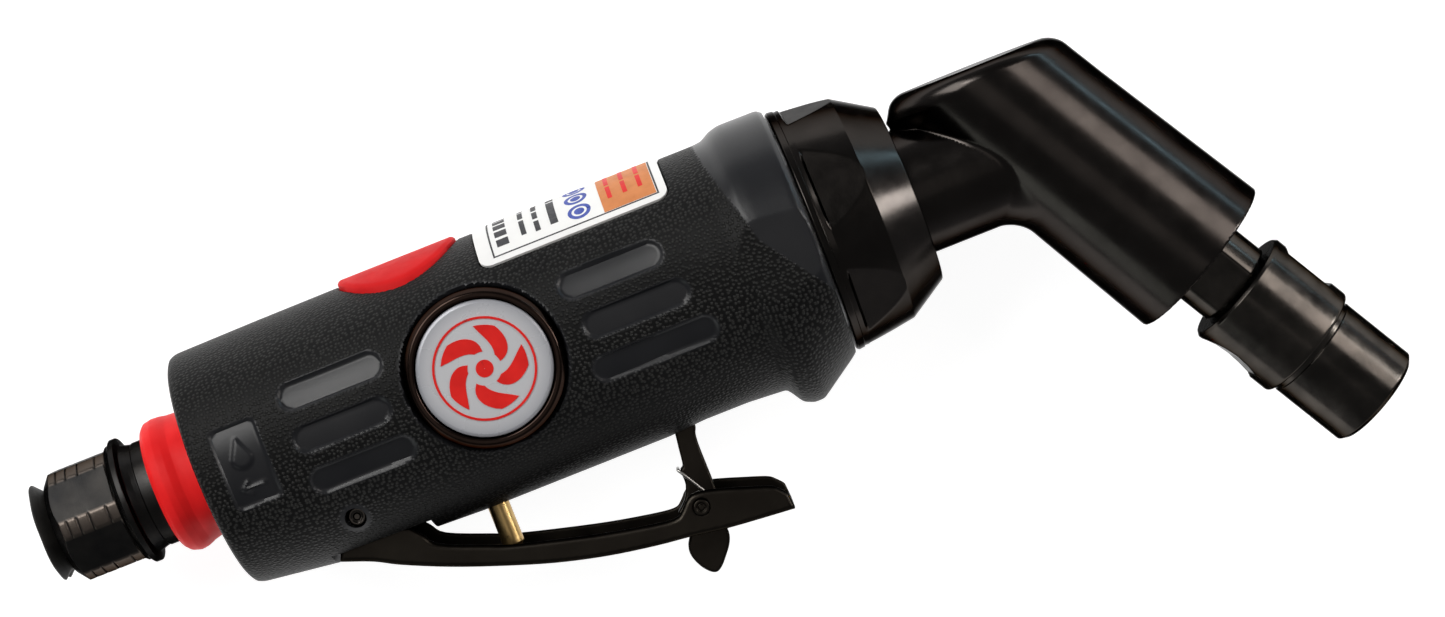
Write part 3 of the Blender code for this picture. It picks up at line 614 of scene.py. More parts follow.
def meshed_field(field, low, high, cell):
    """Points, faces and normals of the surface where a distance field is zero.

    One point is placed in each cell that the surface crosses, then pulled onto the surface.
    """
    counts = [math.ceil((b - a) / cell) + 1 for a, b in zip(low, high)]
    axes = [a + cell * np.arange(count) for a, count in zip(low, counts)]
    values = field(*np.meshgrid(*axes, indexing="ij"))
    inside = values < 0
    corners = list(itertools.product((0, 1), repeat=3))
    full = sum(
        inside[i:counts[0] - 1 + i, j:counts[1] - 1 + j, k:counts[2] - 1 + k].astype(np.int8)
        for i, j, k in corners
    )
    cells = np.argwhere((full > 0) & (full < 8))
    number = -np.ones(full.shape, np.int64)
    number[tuple(cells.T)] = np.arange(len(cells))
    total, hits = np.zeros((len(cells), 3)), np.zeros(len(cells))
    for first in corners:
        for axis in range(3):
            if first[axis]:
                continue
            second = list(first)
            second[axis] = 1
            start = values[tuple((cells + first).T)]
            end = values[tuple((cells + second).T)]
            crossed = (start < 0) != (end < 0)
            share = np.where(crossed, start / np.where(crossed, start - end, 1.0), 0.0)
            place = np.array(first, float) + share[:, None] * np.eye(3)[axis]
            total += place * crossed[:, None]
            hits += crossed
    points = np.array(low) + cell * (cells + total / hits[:, None])
    faces = []
    for axis in range(3):
        others = [a for a in range(3) if a != axis]
        step = np.eye(3, dtype=int)
        take = [slice(None)] * 3
        take[axis] = slice(0, -1)
        on = [slice(None)] * 3
        on[axis] = slice(1, None)
        flips = np.argwhere(inside[tuple(take)] != inside[tuple(on)])
        flips = flips[(flips[:, others[0]] > 0) & (flips[:, others[1]] > 0)]
        for other in others:
            flips = flips[flips[:, other] < counts[other] - 1]
        first, second = step[others[0]], step[others[1]]
        ring = [flips - first - second, flips - second, flips, flips - first]
        quad = np.stack([number[tuple(corner.T)] for corner in ring], -1)
        leaving = inside[tuple(flips.T)]
        forward = leaving if axis != 1 else ~leaving
        quad[~forward] = quad[~forward][:, ::-1]
        faces.append(quad)
    faces = np.vstack(faces)

    def gradient(at):
        reach = 0.01
        steps = np.eye(3) * reach
        return np.stack([(field(*(at + s).T) - field(*(at - s).T)) / (2 * reach) for s in steps], -1)

    def outward(at):
        slope = gradient(at)
        return slope / np.maximum(np.linalg.norm(slope, axis=1), 1e-9)[:, None]

    def pulled(at):
        for _ in range(4):
            slope = gradient(at)
            size = np.maximum((slope ** 2).sum(1), 0.05)
            move = (field(*at.T) / size)[:, None] * slope
            length = np.linalg.norm(move, axis=1)[:, None]
            at = at - move * np.minimum(1.0, 0.5 * cell / np.maximum(length, 1e-9))
        return at

    points = pulled(points)
    edges = np.vstack([faces[:, [k, (k + 1) % 4]] for k in range(4)])
    for _ in range(3):
        total, hits = np.zeros_like(points), np.zeros(len(points))
        np.add.at(total, edges[:, 0], points[edges[:, 1]])
        np.add.at(total, edges[:, 1], points[edges[:, 0]])
        np.add.at(hits, edges[:, 0], 1)
        np.add.at(hits, edges[:, 1], 1)
        normal = outward(points)
        drift = total / hits[:, None] - points
        drift -= (drift * normal).sum(1)[:, None] * normal
        points = pulled(points + 0.5 * drift)
    return points, faces.tolist(), outward(points)


# ---------------------------------------------------------------- distances and blends


def smooth_max(first, second, rounding):
    """The larger of two distances, with a round edge where they meet."""
    a, b = np.maximum(first + rounding, 0), np.maximum(second + rounding, 0)
    return np.minimum(-rounding, np.maximum(first, second)) + np.hypot(a, b)


def rounded_box(x, y, low_x, high_x, low_y, high_y, corner):
    """Distance to a flat rectangle with round corners."""
    across = np.abs(x - (low_x + high_x) / 2) - (high_x - low_x) / 2 + corner
    up = np.abs(y - (low_y + high_y) / 2) - (high_y - low_y) / 2 + corner
    outside = np.hypot(np.maximum(across, 0), np.maximum(up, 0))
    return outside + np.minimum(np.maximum(across, up), 0) - corner


def stroke(x, y, start, end, start_radius, end_radius):
    """Distance to a stroke whose width goes evenly from one end to the other."""
    run, rise = end[0] - start[0], end[1] - start[1]
    share = np.clip(((x - start[0]) * run + (y - start[1]) * rise) / (run * run + rise * rise), 0, 1)
    away = np.hypot(x - start[0] - share * run, y - start[1] - share * rise)
    return away - (start_radius + (end_radius - start_radius) * share)


def inside_share(distance, wall):
    """One well inside an outline and zero outside, over a wall of that width."""
    share = np.clip(0.5 - distance / wall, 0, 1)
    return share * share * (3 - 2 * share)


def smooth_line(points, per_span):
    """A closed or open curve through given points (Catmull-Rom)."""
    knots = np.array(points, float)
    padded = np.vstack((2 * knots[0] - knots[1], knots, 2 * knots[-1] - knots[-2]))
    curve = []
    for index in range(len(knots) - 1):
        a, b, c, d = padded[index:index + 4]
        for t in np.arange(per_span) / per_span:
            curve.append(
                0.5 * (2 * b + (c - a) * t + (2 * a - 5 * b + 4 * c - d) * t ** 2
                       + (3 * b - a - 3 * c + d) * t ** 3)
            )
    curve.append(knots[-1])
    return np.array(curve)


def outline_distance(x, y, outline):
    """Signed distance to a closed outline, negative inside."""
    flat_x, flat_y = np.ravel(x), np.ravel(y)
    nearest = np.full(flat_x.shape, 1e9)
    crossings = np.zeros(flat_x.shape, int)
    for first, second in zip(outline, np.roll(outline, -1, axis=0)):
        run, rise = second - first
        length = max(run * run + rise * rise, 1e-12)
        share = np.clip(((flat_x - first[0]) * run + (flat_y - first[1]) * rise) / length, 0, 1)
        away = (flat_x - first[0] - share * run) ** 2 + (flat_y - first[1] - share * rise) ** 2
        nearest = np.minimum(nearest, away)
        straddles = (first[1] > flat_y) != (second[1] > flat_y)
        if abs(rise) > 1e-12:
            crossings += straddles & (flat_x < first[0] + run * (flat_y - first[1]) / rise)
    distance = np.sqrt(nearest)
    return np.where(crossings % 2 == 1, -distance, distance).reshape(np.shape(x))


def bar_distance(x, y, outline):
    """Signed distance to a bar along z. On a grid it is worked out in one layer only."""
    if x.ndim < 3:
        return outline_distance(x, y, outline)
    return np.broadcast_to(outline_distance(x[:, :, :1], y[:, :, :1], outline), x.shape)


# ---------------------------------------------------------------- grip


def grip_radii(along):
    """Radius upward, radius downward and half width, with the table's corners eased."""
    step, reach, softness = 0.05, 24, 0.3
    table = np.array(GRIP_SECTIONS)
    fine = np.arange(-2, GRIP_FRONT + 2, step)
    kernel = np.exp(-0.5 * (np.arange(-reach, reach + 1) * step / softness) ** 2)
    kernel /= kernel.sum()
    share = np.clip(np.minimum(fine, GRIP_FRONT - fine), 0, 1)
    rows = []
    for column in (1, 2, 3):
        raw = np.interp(fine, table[:, 0], table[:, column])
        eased = np.convolve(np.pad(raw, reach, mode="edge"), kernel, mode="valid")
        rows.append(np.interp(along, fine, raw + (eased - raw) * share))
    return rows


def oval_distance(x, y, low, high, row):
    """Distance to the outline of a finger oval between low and high."""
    return rounded_box(x, y, low, high, row - OVAL_HALF, row + OVAL_HALF, OVAL_HALF - 0.01)


def side_recesses(x, y, near):
    """Depth of the ovals on both sides and of the panel on the near side."""
    depth = np.zeros_like(x)
    for low, high, row in OVALS:
        oval = oval_distance(x, y, low, high, row)
        hollow = OVAL_DEPTH - 0.18 * ((x - (low + high) / 2) / 8) ** 2
        depth += np.maximum(hollow, 0) * inside_share(oval, 0.5)
        depth -= 0.07 * np.exp(-0.5 * ((oval - 0.55) / 0.28) ** 2)
    panel = rounded_box(x, y, *PANEL, PANEL_CORNER)
    drop = stroke(x, y, (7.4, 0.9), (7.4, 3.9), 1.55, 0.12)
    shaft = stroke(x, y, (9.2, -3.6), (5.8, -3.6), 0.2, 0.2)
    barbs = [stroke(x, y, (5.7, -3.6), (6.9, end), 0.2, 0.2) for end in (-2.7, -4.5)]
    marks = np.minimum.reduce([drop, shaft, *barbs])
    on_panel = PANEL_DEPTH * inside_share(panel, 0.5) - 0.3 * inside_share(marks, 0.35)
    return depth + np.where(near, on_panel, 0.0)


def pockets(x, y, z):
    """Distance to the outline and radius of the floor, for the badges, the insert and the label."""
    badge = np.hypot(x - BADGE_X, y) - (BEZEL_RADIUS + 0.25)
    insert = np.hypot((x - INSERT_X) / INSERT_HALF_LENGTH, z / INSERT_HALF_WIDTH)
    insert = np.where(y > 0, (insert - 1.02) * INSERT_HALF_LENGTH, 9.0)
    label = rounded_box(
        x, np.arctan2(z, y) * LABEL_FACE, LABEL_X[0] - 0.2, LABEL_X[1] + 0.2,
        LABEL_TURN[0] * LABEL_FACE - 0.2, LABEL_TURN[1] * LABEL_FACE + 0.2, 2.0,
    )
    return (badge, BADGE_SADDLE - 0.1), (insert, INSERT_FLOOR - 0.3), (label, LABEL_BACK - 0.25)


def make_grip():
    table = np.array(GRIP_SECTIONS)
    along = np.unique(np.concatenate((np.arange(0, GRIP_FRONT, GRIP_STEP), table[:, 0], (0.1, 0.2, 0.85))))
    along = along[np.concatenate(([True], np.diff(along) > 0.04))]
    turn = np.linspace(0, 2 * math.pi, GRIP_SIDES, endpoint=False)
    x, angle = np.meshgrid(along, turn, indexing="ij")
    top, bottom, half = [np.repeat(row[:, None], GRIP_SIDES, axis=1) for row in grip_radii(along)]
    up = np.where(np.cos(angle) > 0, top, bottom)
    y, z = up * np.cos(angle), half * np.sin(angle)
    z = np.sign(z) * -smooth_max(-np.abs(z), np.full_like(z, -SIDE_FLAT), 0.4)
    z = np.clip(z, -SIDE_FLAT, SIDE_FLAT)
    out_y, out_z = y / up ** 2, z / half ** 2
    size = np.hypot(out_y, out_z)
    depth = side_recesses(x, y, z > 0) * np.clip((np.abs(z) - 6) / 2, 0, 1)
    radius = np.hypot(y, z)
    for distance, floor in pockets(x, y, z):
        depth = np.maximum(depth, np.maximum(radius - floor, 0) * inside_share(distance, 0.35))
    y, z = y - depth * out_y / size, z - depth * out_z / size
    outer = np.stack((x, y, z), -1)
    inside = (
        (GRIP_FRONT, GRIP_BORE + 0.9), (GRIP_FRONT - 0.5, GRIP_BORE), (GRIP_REAR_WALL, GRIP_BORE),
        (GRIP_REAR_WALL, GRIP_REAR_HOLE), (0.35, GRIP_REAR_HOLE), (0.0, GRIP_REAR_HOLE + 0.35),
        (0.0, 13.0), (0.0, 15.0),
    )
    inner = [
        np.stack((np.full(GRIP_SIDES, level), r * np.cos(turn), r * np.sin(turn)), -1)
        for level, r in inside
    ]
    points, faces = joined_rings(np.concatenate((outer, inner)), loop=True)
    grip = add_piece(
        "grip_shell", points, faces, TOOL, "housing", "grip", replaces=["grip_housing"],
        slot="grip_composite",
    )
    carved(grip, [
        box_shape(*LEVER_POCKET),
        box_shape(*CATCH_POCKET),
        rod_shape((VALVE_X, 0), "y", -26, -12, STEM_HOLE),
        rod_shape((PIVOT_X, PIVOT_Y), "z", -25, 25, PIVOT_HOLE),
    ])
    mark_grip(grip.data)


def mark_grip(mesh):
    """Stores where the grip is pebbled, and its surface unrolled, for its material."""
    x, y, z = mesh_points(mesh, TOOL)
    smooth = np.maximum(
        inside_share(rounded_box(x, y, *PANEL, PANEL_CORNER) - 0.3, 0.3) * (z > 0),
        inside_share(np.hypot(x - BADGE_X, y) - BEZEL_RADIUS - 0.7, 0.4),
    )
    for oval in OVALS:
        smooth = np.maximum(smooth, inside_share(oval_distance(x, y, *oval) - 0.35, 0.3))
    edge = np.interp(y, *FLANGE_EDGE)
    smooth = np.maximum(smooth, inside_share(edge - x, 0.4))
    smooth = np.maximum(smooth, inside_share(np.hypot(y, z) - GRIP_INSIDE, 0.3))
    smooth = np.maximum(smooth, inside_share(np.hypot(x - PIVOT_X, y - PIVOT_Y) - 2.3, 0.4))
    store_share(mesh, "pebbled", 1 - smooth)
    arc = np.abs(np.arctan2(z, y)) * GRIP_MEAN_RADIUS
    unrolled = np.stack((x, arc, np.zeros_like(x)), -1).astype(np.float32)
    store = mesh.attributes.new("unrolled", "FLOAT_VECTOR", "POINT")
    store.data.foreach_set("vector", unrolled.ravel())
    mesh.shade_smooth()
    mesh.set_sharp_from_angle(angle=SHARP_ANGLE)


# ---------------------------------------------------------------- trim on the grip


def make_insert():
    """Red oval on the grip's back."""
    steps = np.linspace(-1, 1, 61)
    u, v = np.meshgrid(steps, steps, indexing="ij")
    along, across = u * np.sqrt(1 - v * v / 2), v * np.sqrt(1 - u * u / 2)
    x, z = INSERT_X + INSERT_HALF_LENGTH * along, INSERT_HALF_WIDTH * across
    rim = np.clip((np.hypot(along, across) - 0.93) / 0.07, 0, 1)
    top = np.sqrt(INSERT_TOP ** 2 - z * z) - 0.45 * rim ** 2
    bottom = np.sqrt(INSERT_FLOOR ** 2 - z * z)
    points, faces = slab(np.stack((x, top, z), -1), np.stack((x, bottom, z), -1))
    add_piece(
        "red_insert", points, faces, TOOL, "housing", "insert", replaces=["accent_insert"], slot="red_plastic"
    )


def on_label(x, arc, radius):
    """Points on the label's cylinder, arc in millimetres from the grip's back."""
    turn = arc / LABEL_FACE
    return np.stack((x, radius * np.cos(turn), radius * np.sin(turn)), -1)


def label_patch(low_x, high_x, low_arc, high_arc, face, back, corner=0.0):
    """A curved plate with round corners on the label's cylinder."""
    rows = max(3, math.ceil((high_arc - low_arc) / 0.4))
    share = np.linspace(0, 1, rows)
    if corner:
        share = 0.5 - 0.5 * np.cos(math.pi * share)
    arc = low_arc + (high_arc - low_arc) * share
    edge = np.minimum(np.minimum(arc - low_arc, high_arc - arc), corner)
    shrink = corner - np.sqrt(np.maximum(corner ** 2 - (corner - edge) ** 2, 0))
    columns = np.linspace(0, 1, max(3, math.ceil((high_x - low_x) / 1.5)))
    first, last = low_x + shrink, high_x - shrink
    x = first[:, None] + (last - first)[:, None] * columns
    arcs = np.repeat(arc[:, None], len(columns), axis=1)
    return slab(on_label(x, arcs, face), on_label(x, arcs, back))


def label_ring(centre_x, centre_arc, inner, outer, face, back):
    """A flat ring printed on the label."""
    turn = np.linspace(0, 2 * math.pi, 41)
    radius, angle = np.meshgrid((inner, outer), turn, indexing="ij")
    x, arc = centre_x + radius * np.cos(angle), centre_arc + radius * np.sin(angle)
    return slab(on_label(x, arc, face), on_label(x, arc, back))


def make_label():
    low_arc, high_arc = (turn * LABEL_FACE for turn in LABEL_TURN)
    points, faces = label_patch(*LABEL_X, low_arc, high_arc, LABEL_FACE, LABEL_BACK, 1.8)
    add_piece(
        "label_sheet", points, faces, TOOL, "housing", "label", replaces=["rating_label"], slot="label_white"
    )
    face, back = LABEL_FACE + 0.03, LABEL_FACE - 0.05

    def printed(name, look, patches, rings=(), lift=0.0):
        parts = [label_patch(*patch, face + lift, back) for patch in patches]
        parts += [label_ring(*ring, face + lift, back) for ring in rings]
        add_piece(name, *merged(parts), TOOL, "housing", look)

    margin, line = 1.15, 0.26
    left, right = LABEL_X[0] + 2.2, LABEL_X[1] - 1.5
    low, high = low_arc + margin, high_arc - margin
    orange_left = 69.7
    frame_lines = [
        (left, right, high - line, high), (left, right, low, low + line), (left, left + line, low, high),
        (right, right + line, low, high),
    ]
    words = []  # rows of bars that stand for the words: centre, thickness, start and end of each bar
    for centre, thick, spans in (
        (54.0, 1.9, ((-3.0, -1.2), (-0.4, 1.4), (2.2, 4.0), (4.8, 6.6), (7.4, 9.2), (10.0, 11.8))),
        (57.4, 0.8, ((-3.0, 1.8), (2.6, 6.0), (6.8, 11.2))),
        (59.6, 0.8, ((-3.0, 0.4), (1.2, 4.6), (5.4, 8.0), (8.8, 11.6))),
        (62.2, 1.2, ((-3.0, 2.6), (3.4, 11.4))),
    ):
        words += [(centre - thick / 2, centre + thick / 2, *span) for span in spans]
    printed("label_print", "ink", frame_lines + words)
    printed("label_orange", "orange_ink", [(orange_left, right - 0.1, low + 0.3, high - line - 0.1)])
    warning = [
        (centre - 0.35, centre + 0.35, *span)
        for centre in (71.2, 73.6, 76.0)
        for span in ((-2.5, 1.0), (1.7, 6.2), (6.9, 10.6))
    ]
    printed("label_warning", "red_print", warning, lift=0.03)
    icons = [(66.2, centre, *rim) for centre in (2.4, 6.6, 10.8) for rim in ((1.2, 1.8), (0.01, 0.8))]
    printed("label_icons", "blue_ink", [], icons)


def badge_print(radius, angle):
    """A thin plate over a grid of radii and angles on the badge's disc."""
    across, up = radius * np.cos(angle), radius * np.sin(angle)
    return slab(*(np.stack((np.full_like(across, level), across, up), -1) for level in BADGE_PRINT))


def make_badge(side, turn):
    """Glossy boss with a silver disc and a plain turbine wheel on it."""
    facing = TOOL @ Matrix.Translation((BADGE_X, 0, 0)) @ Matrix.Rotation(turn, 4, "Y")
    lip = DISC_RADIUS + 0.2
    profile = (
        (13.0, 0), (13.0, BEZEL_RADIUS, 0.2), (18.3, BEZEL_RADIUS, 0.9),
        (BEZEL_FACE, BEZEL_RADIUS - 0.75, 0.5), (BEZEL_FACE, lip + 0.1, 0.3), (18.4, lip - 0.15, 0.1),
        (18.2, 0),
    )
    lathe(
        f"badge_ring_{side}", profile, "housing", "bezel", facing, sides=144, step=0.4,
        replaces=[f"badge_bezel_{side}"], slot="badge_black",
    )
    profile = (
        (18.25, 0), (18.25, DISC_RADIUS, 0.1), (18.75, DISC_RADIUS, 0.25), (18.95, DISC_RADIUS - 0.5, 0.3),
        (19.05, 6.0), (19.1, 0),
    )
    plate = lathe(
        f"badge_plate_{side}", profile, "housing", "disc", facing, sides=144, step=0.4,
        replaces=[f"badge_disc_{side}"], slot="badge_silver",
    )
    # Painted shade: the silver disc is drawn darker towards its rim, where a domed disc falls into shade.
    mark_bare_and_shade(plate, facing, lambda x, y, z: np.clip((np.hypot(y, z) - 6.5) / 3.6, 0, 1) ** 2)
    blades, parts = 5, []
    t, s = np.meshgrid(np.linspace(0, 1, 14), np.linspace(-0.5, 0.5, 7), indexing="ij")
    for index in range(blades):
        angle = 2 * math.pi * index / blades + 0.9 * t + s * (0.5 + 0.35 * np.sin(math.pi * t))
        parts.append(badge_print(2.5 + 3.9 * t, angle))
    turn_round = np.linspace(0, 2 * math.pi, 73)
    for rim in ((7.3, 7.65), (0.05, 1.3)):
        parts.append(badge_print(*np.meshgrid(rim, turn_round, indexing="ij")))
    add_piece(f"badge_wheel_{side}", *merged(parts), facing, "housing", "red_print")


# ---------------------------------------------------------------- air inlet


def hexed(apothem, low, high, turn, edge):
    """A shape rule for lathe: six flats between two places."""
    sector, fade = math.pi / 3, 0.25

    def rule(along, radius, angle):
        off = (angle - turn + sector / 2) % sector - sector / 2
        flat = apothem / np.cos(off)
        inside = np.clip((along - low) / fade, 0, 1) * np.clip((high - along) / fade, 0, 1)
        wanted = -smooth_max(-radius, -flat, edge)
        cut = radius + (np.minimum(wanted, radius) - radius) * inside
        return np.where(radius > apothem * 0.9, cut, radius)

    return rule


def make_inlet():
    hex_low, hex_high, corner = -24.5, -13.9, 9.2
    grooves = (-21.8, -20.2, -18.3, -15.5)
    flats = hexed(8.5, hex_low - 1, hex_high, 0.0, 0.12)

    def shape(along, radius, angle):
        outer = radius > 8.6
        for place in grooves:
            radius = radius - outer * 0.16 * np.exp(-0.5 * ((along - place) / 0.12) ** 2)
        return flats(along, radius, angle)

    profile = (
        (hex_low, 5.9, 0.3), (hex_low, 7.2, 0.3), (-22.9, corner, 0.3), (hex_high, corner, 0.05),
        (-13.85, 8.85, 0.05), (-13.0, 9.9, 0.1), (-12.2, 9.9, 0.15), (-11.9, 8.6, 0.3), (-10.9, 8.26, 0.2),
        (-10.2, 8.1, 0.05), (-10.0, 8.26, 0.05), (8.7, 8.26), (8.7, 6.6), (17.0, 6.6), (17.0, 3.5),
        (-9.0, 3.5), (-9.0, 5.9),
    )
    bushing = lathe(
        "inlet_bushing", profile, "housing", "inlet", sides=240, step=0.12, loop=True, shape=shape,
        replaces=["air_inlet"], slot="black_steel",
    )

    def corners(x, y, z):
        return inside_share(corner - 0.1 - np.hypot(y, z), 0.06) * inside_share(x - hex_high, 0.4)

    mark_bare_and_shade(bushing, TOOL, corners)

    def lip(along, radius, angle):
        flare = np.clip((-24.9 - along) / 1.6, 0, 1)
        wave = 0.22 * np.sin(3 * angle + 0.7) + 0.14 * np.sin(7 * angle)
        tear = 1.3 * np.exp(-0.5 * ((angle - math.radians(172)) / 0.10) ** 2)
        return radius + flare * (wave - tear)

    profile = (
        (-18.4, 0), (-18.4, 5.5, 0.4), (-24.2, 5.5, 0.3), (-24.7, 5.9, 0.4), (-25.5, 6.7, 0.6),
        (-26.4, 7.7, 0.1), (-26.7, 7.5, 0.1), (-26.1, 6.4, 0.4), (-25.3, 5.2, 0.5), (-24.6, 4.5, 0.5),
        (-19.4, 4.5, 0.6), (-19.4, 0),
    )
    lathe(
        "dust_cap", profile, "dust_plug", "rubber", sides=160, step=0.25, shape=lip,
        replaces=["inlet_plug"], slot="seal_rubber",
    )

    def dents(along, radius, angle):
        """Shallow dents: place and width along, angle and reach in degrees, depth."""
        outer = radius > 9.2
        for place, width, turn, reach, depth in (
            (-1.4, 1.3, 165, 26, 0.75), (-4.4, 1.1, 138, 11, 0.35), (-3.2, 0.9, 72, 13, 0.22),
            (-5.0, 1.2, 300, 14, 0.3), (-1.5, 1.2, 215, 16, 0.35),
        ):
            away = (np.degrees(angle) - turn + 180) % 360 - 180
            radius = radius - outer * depth * np.exp(
                -0.5 * (((along - place) / width) ** 2 + (away / reach) ** 2)
            )
        return radius + outer * 0.05 * np.sin(5 * angle + 1.3 * along)

    profile = (
        (-8.0, 8.6, 0.2), (-8.0, 9.5, 0.5), (-7.3, 10.3, 0.8), (-6.0, 10.6, 0.8), (-4.9, 10.5, 0.6),
        (-3.7, 10.2, 0.8), (-0.6, 10.1, 0.3), (2.0, 10.1, 0.2), (2.0, 8.6, 0.1), (-2.5, 8.6), (-2.5, 9.4),
        (-4.5, 9.4), (-4.5, 8.6),
    )
    lathe(
        "red_deflector", profile, "exhaust_deflector", "red", sides=200, step=0.25, loop=True, shape=dents,
        replaces=["exhaust_ring"], slot="red_plastic",
    )


# ---------------------------------------------------------------- throttle


LEVER_UNDERSIDE = (
    (13.4, -19.6), (18.0, -21.4), (21.7, -23.4), (28.4, -26.4), (35.8, -29.2), (43.3, -31.7),
    (50.8, -33.6), (58.2, -34.9), (63.9, -35.6), (69.1, -36.4), (74.6, -36.95), (79.8, -37.4),
)
LEVER_RIM = (
    (79.6, -34.8), (78.7, -33.8), (77.6, -32.9), (74.6, -31.8), (69.4, -30.1), (66.4, -29.6),
    (64.9, -30.2), (63.7, -31.4), (62.3, -32.1), (57.9, -31.5), (50.3, -29.9), (39.0, -26.9),
    (34.9, -25.4), (28.3, -22.6), (26.5, -20.5),
)
CATCH_FRONT = (
    (70.2, -20.2), (70.2, -21.0), (69.8, -22.0), (69.6, -24.2), (69.6, -29.8), (69.4, -33.5),
    (69.0, -37.0), (68.9, -38.3), (68.3, -39.6), (67.2, -41.0), (66.2, -42.1), (65.2, -42.7),
    (64.3, -42.4), (63.3, -41.3), (62.6, -39.9), (62.3, -38.6), (62.5, -37.4), (63.2, -36.2),
    (63.9, -34.6),
)
CATCH_REAR = (
    (62.9, -32.2), (64.6, -30.6), (65.4, -29.0), (65.6, -28.0), (65.6, -26.3), (66.2, -25.7),
    (66.6, -23.0), (67.0, -20.2),
)
LEVER_HALF_WIDTH, LEVER_WALL, HUB_RADIUS = 7.5, 1.2, 3.4
LEVER_SLOT = (60.5, 78.2, -1.9, 1.9)
LEVER_SLOT_ROOF = -33.0
CATCH_HALF_WIDTH, CATCH_PIN_HOLE = 1.5, 1.2


def arc_points(centre, radius, first, last, count):
    turns = np.radians(np.linspace(first, last, count))
    return np.stack((centre[0] + radius * np.cos(turns), centre[1] + radius * np.sin(turns)), -1)


def make_lever():
    under, rim = smooth_line(LEVER_UNDERSIDE, 4), smooth_line(LEVER_RIM, 4)
    hub = arc_points((PIVOT_X, PIVOT_Y), HUB_RADIUS, -25, 195, 24)
    outline = np.vstack((under, rim, hub))
    inner_x, inner_y = under[:, 0], under[:, 1] + LEVER_WALL
    half = LEVER_HALF_WIDTH

    def field(x, y, z):
        body = smooth_max(bar_distance(x, y, outline), np.abs(z) - half, 0.75)
        floor = np.interp(x, inner_x, inner_y) - y
        room = smooth_max(np.abs(z) - (half - LEVER_WALL), floor, 0.5)
        body = smooth_max(body, -room, 0.3)
        slot = np.maximum(rounded_box(x, z, *LEVER_SLOT, 1.2), y - LEVER_SLOT_ROOF)
        body = smooth_max(body, -slot, 0.25)
        pivot = np.hypot(x - PIVOT_X, y - PIVOT_Y) - PIVOT_HOLE
        catch = np.hypot(x - CATCH_X, y - CATCH_Y) - CATCH_PIN_HOLE
        return smooth_max(body, -np.minimum(pivot, catch), 0.2)

    points, faces, normals = meshed_field(field, (11.5, -38.4, -8.2), (80.8, -9.9, 8.2), 0.3)
    add_piece(
        "lever_channel", points, faces, TOOL, "throttle", "lever", replaces=["throttle_lever"],
        slot="lever_black", normals=normals,
    )


def make_catch():
    outline = np.vstack((smooth_line(CATCH_FRONT, 4), smooth_line(CATCH_REAR, 4)))

    def field(x, y, z):
        body = smooth_max(bar_distance(x, y, outline), np.abs(z) - CATCH_HALF_WIDTH, 0.4)
        bore = np.hypot(x - CATCH_X, y - CATCH_Y) - CATCH_PIN_HOLE
        return smooth_max(body, -bore, 0.2)

    points, faces, normals = meshed_field(field, (61.3, -43.7, -2.1), (71.1, -19.4, 2.1), 0.2)
    add_piece(
        "catch_blade", points, faces, TOOL, "safety_catch", "lever", replaces=["lock_lever"],
        slot="lever_black", normals=normals,
    )


def between(start, end, shares):
    """Points on the straight line from start to end."""
    return np.array(start) + np.outer(shares, np.subtract(end, start))


def make_catch_spring():
    """A hook over the blade, a coil beside it round the catch's pin, and a leg to the lever."""
    coil, wire, low, high = 1.75, 0.25, 2.1, 4.3
    hook = [(-1.4, 5.9, -0.8), (-1.4, 5.9, 0.6), (-1.4, 5.9, 1.7), (-1.35, 5.8, 2.0), (-1.2, 5.6, low)]
    foot = (-4.2, -1.3, high)
    share = np.linspace(0, 1, 97)
    angle = np.radians(30 - 860 * share)
    turns = np.stack((coil * np.cos(angle), coil * np.sin(angle), low + (high - low) * share), -1)
    down = between(hook[-1], turns[0], (0.25, 0.5, 0.75))
    leg = between(turns[-1], foot, (0.3, 0.65, 1.0))
    points = np.vstack((hook, down, turns, leg))
    matrix = TOOL @ Matrix.Translation((CATCH_X, CATCH_Y, 0))
    tube(
        "catch_spring", points, wire, "throttle", "steel", matrix, sides=16, replaces=["lock_spring"],
        slot="plain_steel",
    )


def pin_profile(half, radius):
    """A riveted pin with a dished, ringed head at each end."""
    head = [
        (half, 0.0), (half, radius * 0.3, 0.05), (half - 0.15, radius * 0.5, 0.1),
        (half, radius * 0.75, 0.1), (half, radius, 0.15),
    ]
    return [(-along, *rest) for along, *rest in head] + head[::-1]


def make_pins():
    pivot = TOOL @ Matrix.Translation((PIVOT_X, PIVOT_Y, 0)) @ NEAR
    lathe(
        "pivot_pin", pin_profile(11.6, 1.3), "housing", "spindle", pivot, sides=48, step=0.6,
        replaces=["lever_pin"], slot="plain_steel",
    )
    catch = TOOL @ Matrix.Translation((CATCH_X, CATCH_Y, 0)) @ NEAR
    head = LEVER_HALF_WIDTH + 0.45
    profile = [
        (-head, 0), (-head, 0.35, 0.05), (-head + 0.25, 0.55, 0.1), (-head, 0.8, 0.15), (-head, 1.2, 0.2),
        (-LEVER_HALF_WIDTH - 0.05, 1.25, 0.1), (-LEVER_HALF_WIDTH - 0.05, 0.9),
    ]
    profile += [(-along, *rest) for along, *rest in profile[::-1]]
    lathe(
        "catch_pin", profile, "throttle", "lever", catch, sides=48, step=0.5, replaces=["lock_pin"],
        slot="lever_black",
    )


def make_stem():
    line = TOOL @ Matrix.Translation((VALVE_X, 0, 0)) @ ACROSS
    profile = (
        (-7.7, 0), (-7.7, 1.5, 0.1), (-8.0, 1.7, 0.1), (-27.3, 1.7, 0.25), (-27.8, 1.2, 0.5),
        (-28.0, 0.5, 0.2), (-28.0, 0),
    )
    lathe(
        "push_pin", profile, "valve", "brass", line, sides=64, step=0.5, replaces=["valve_stem"],
        slot="brass",
    )


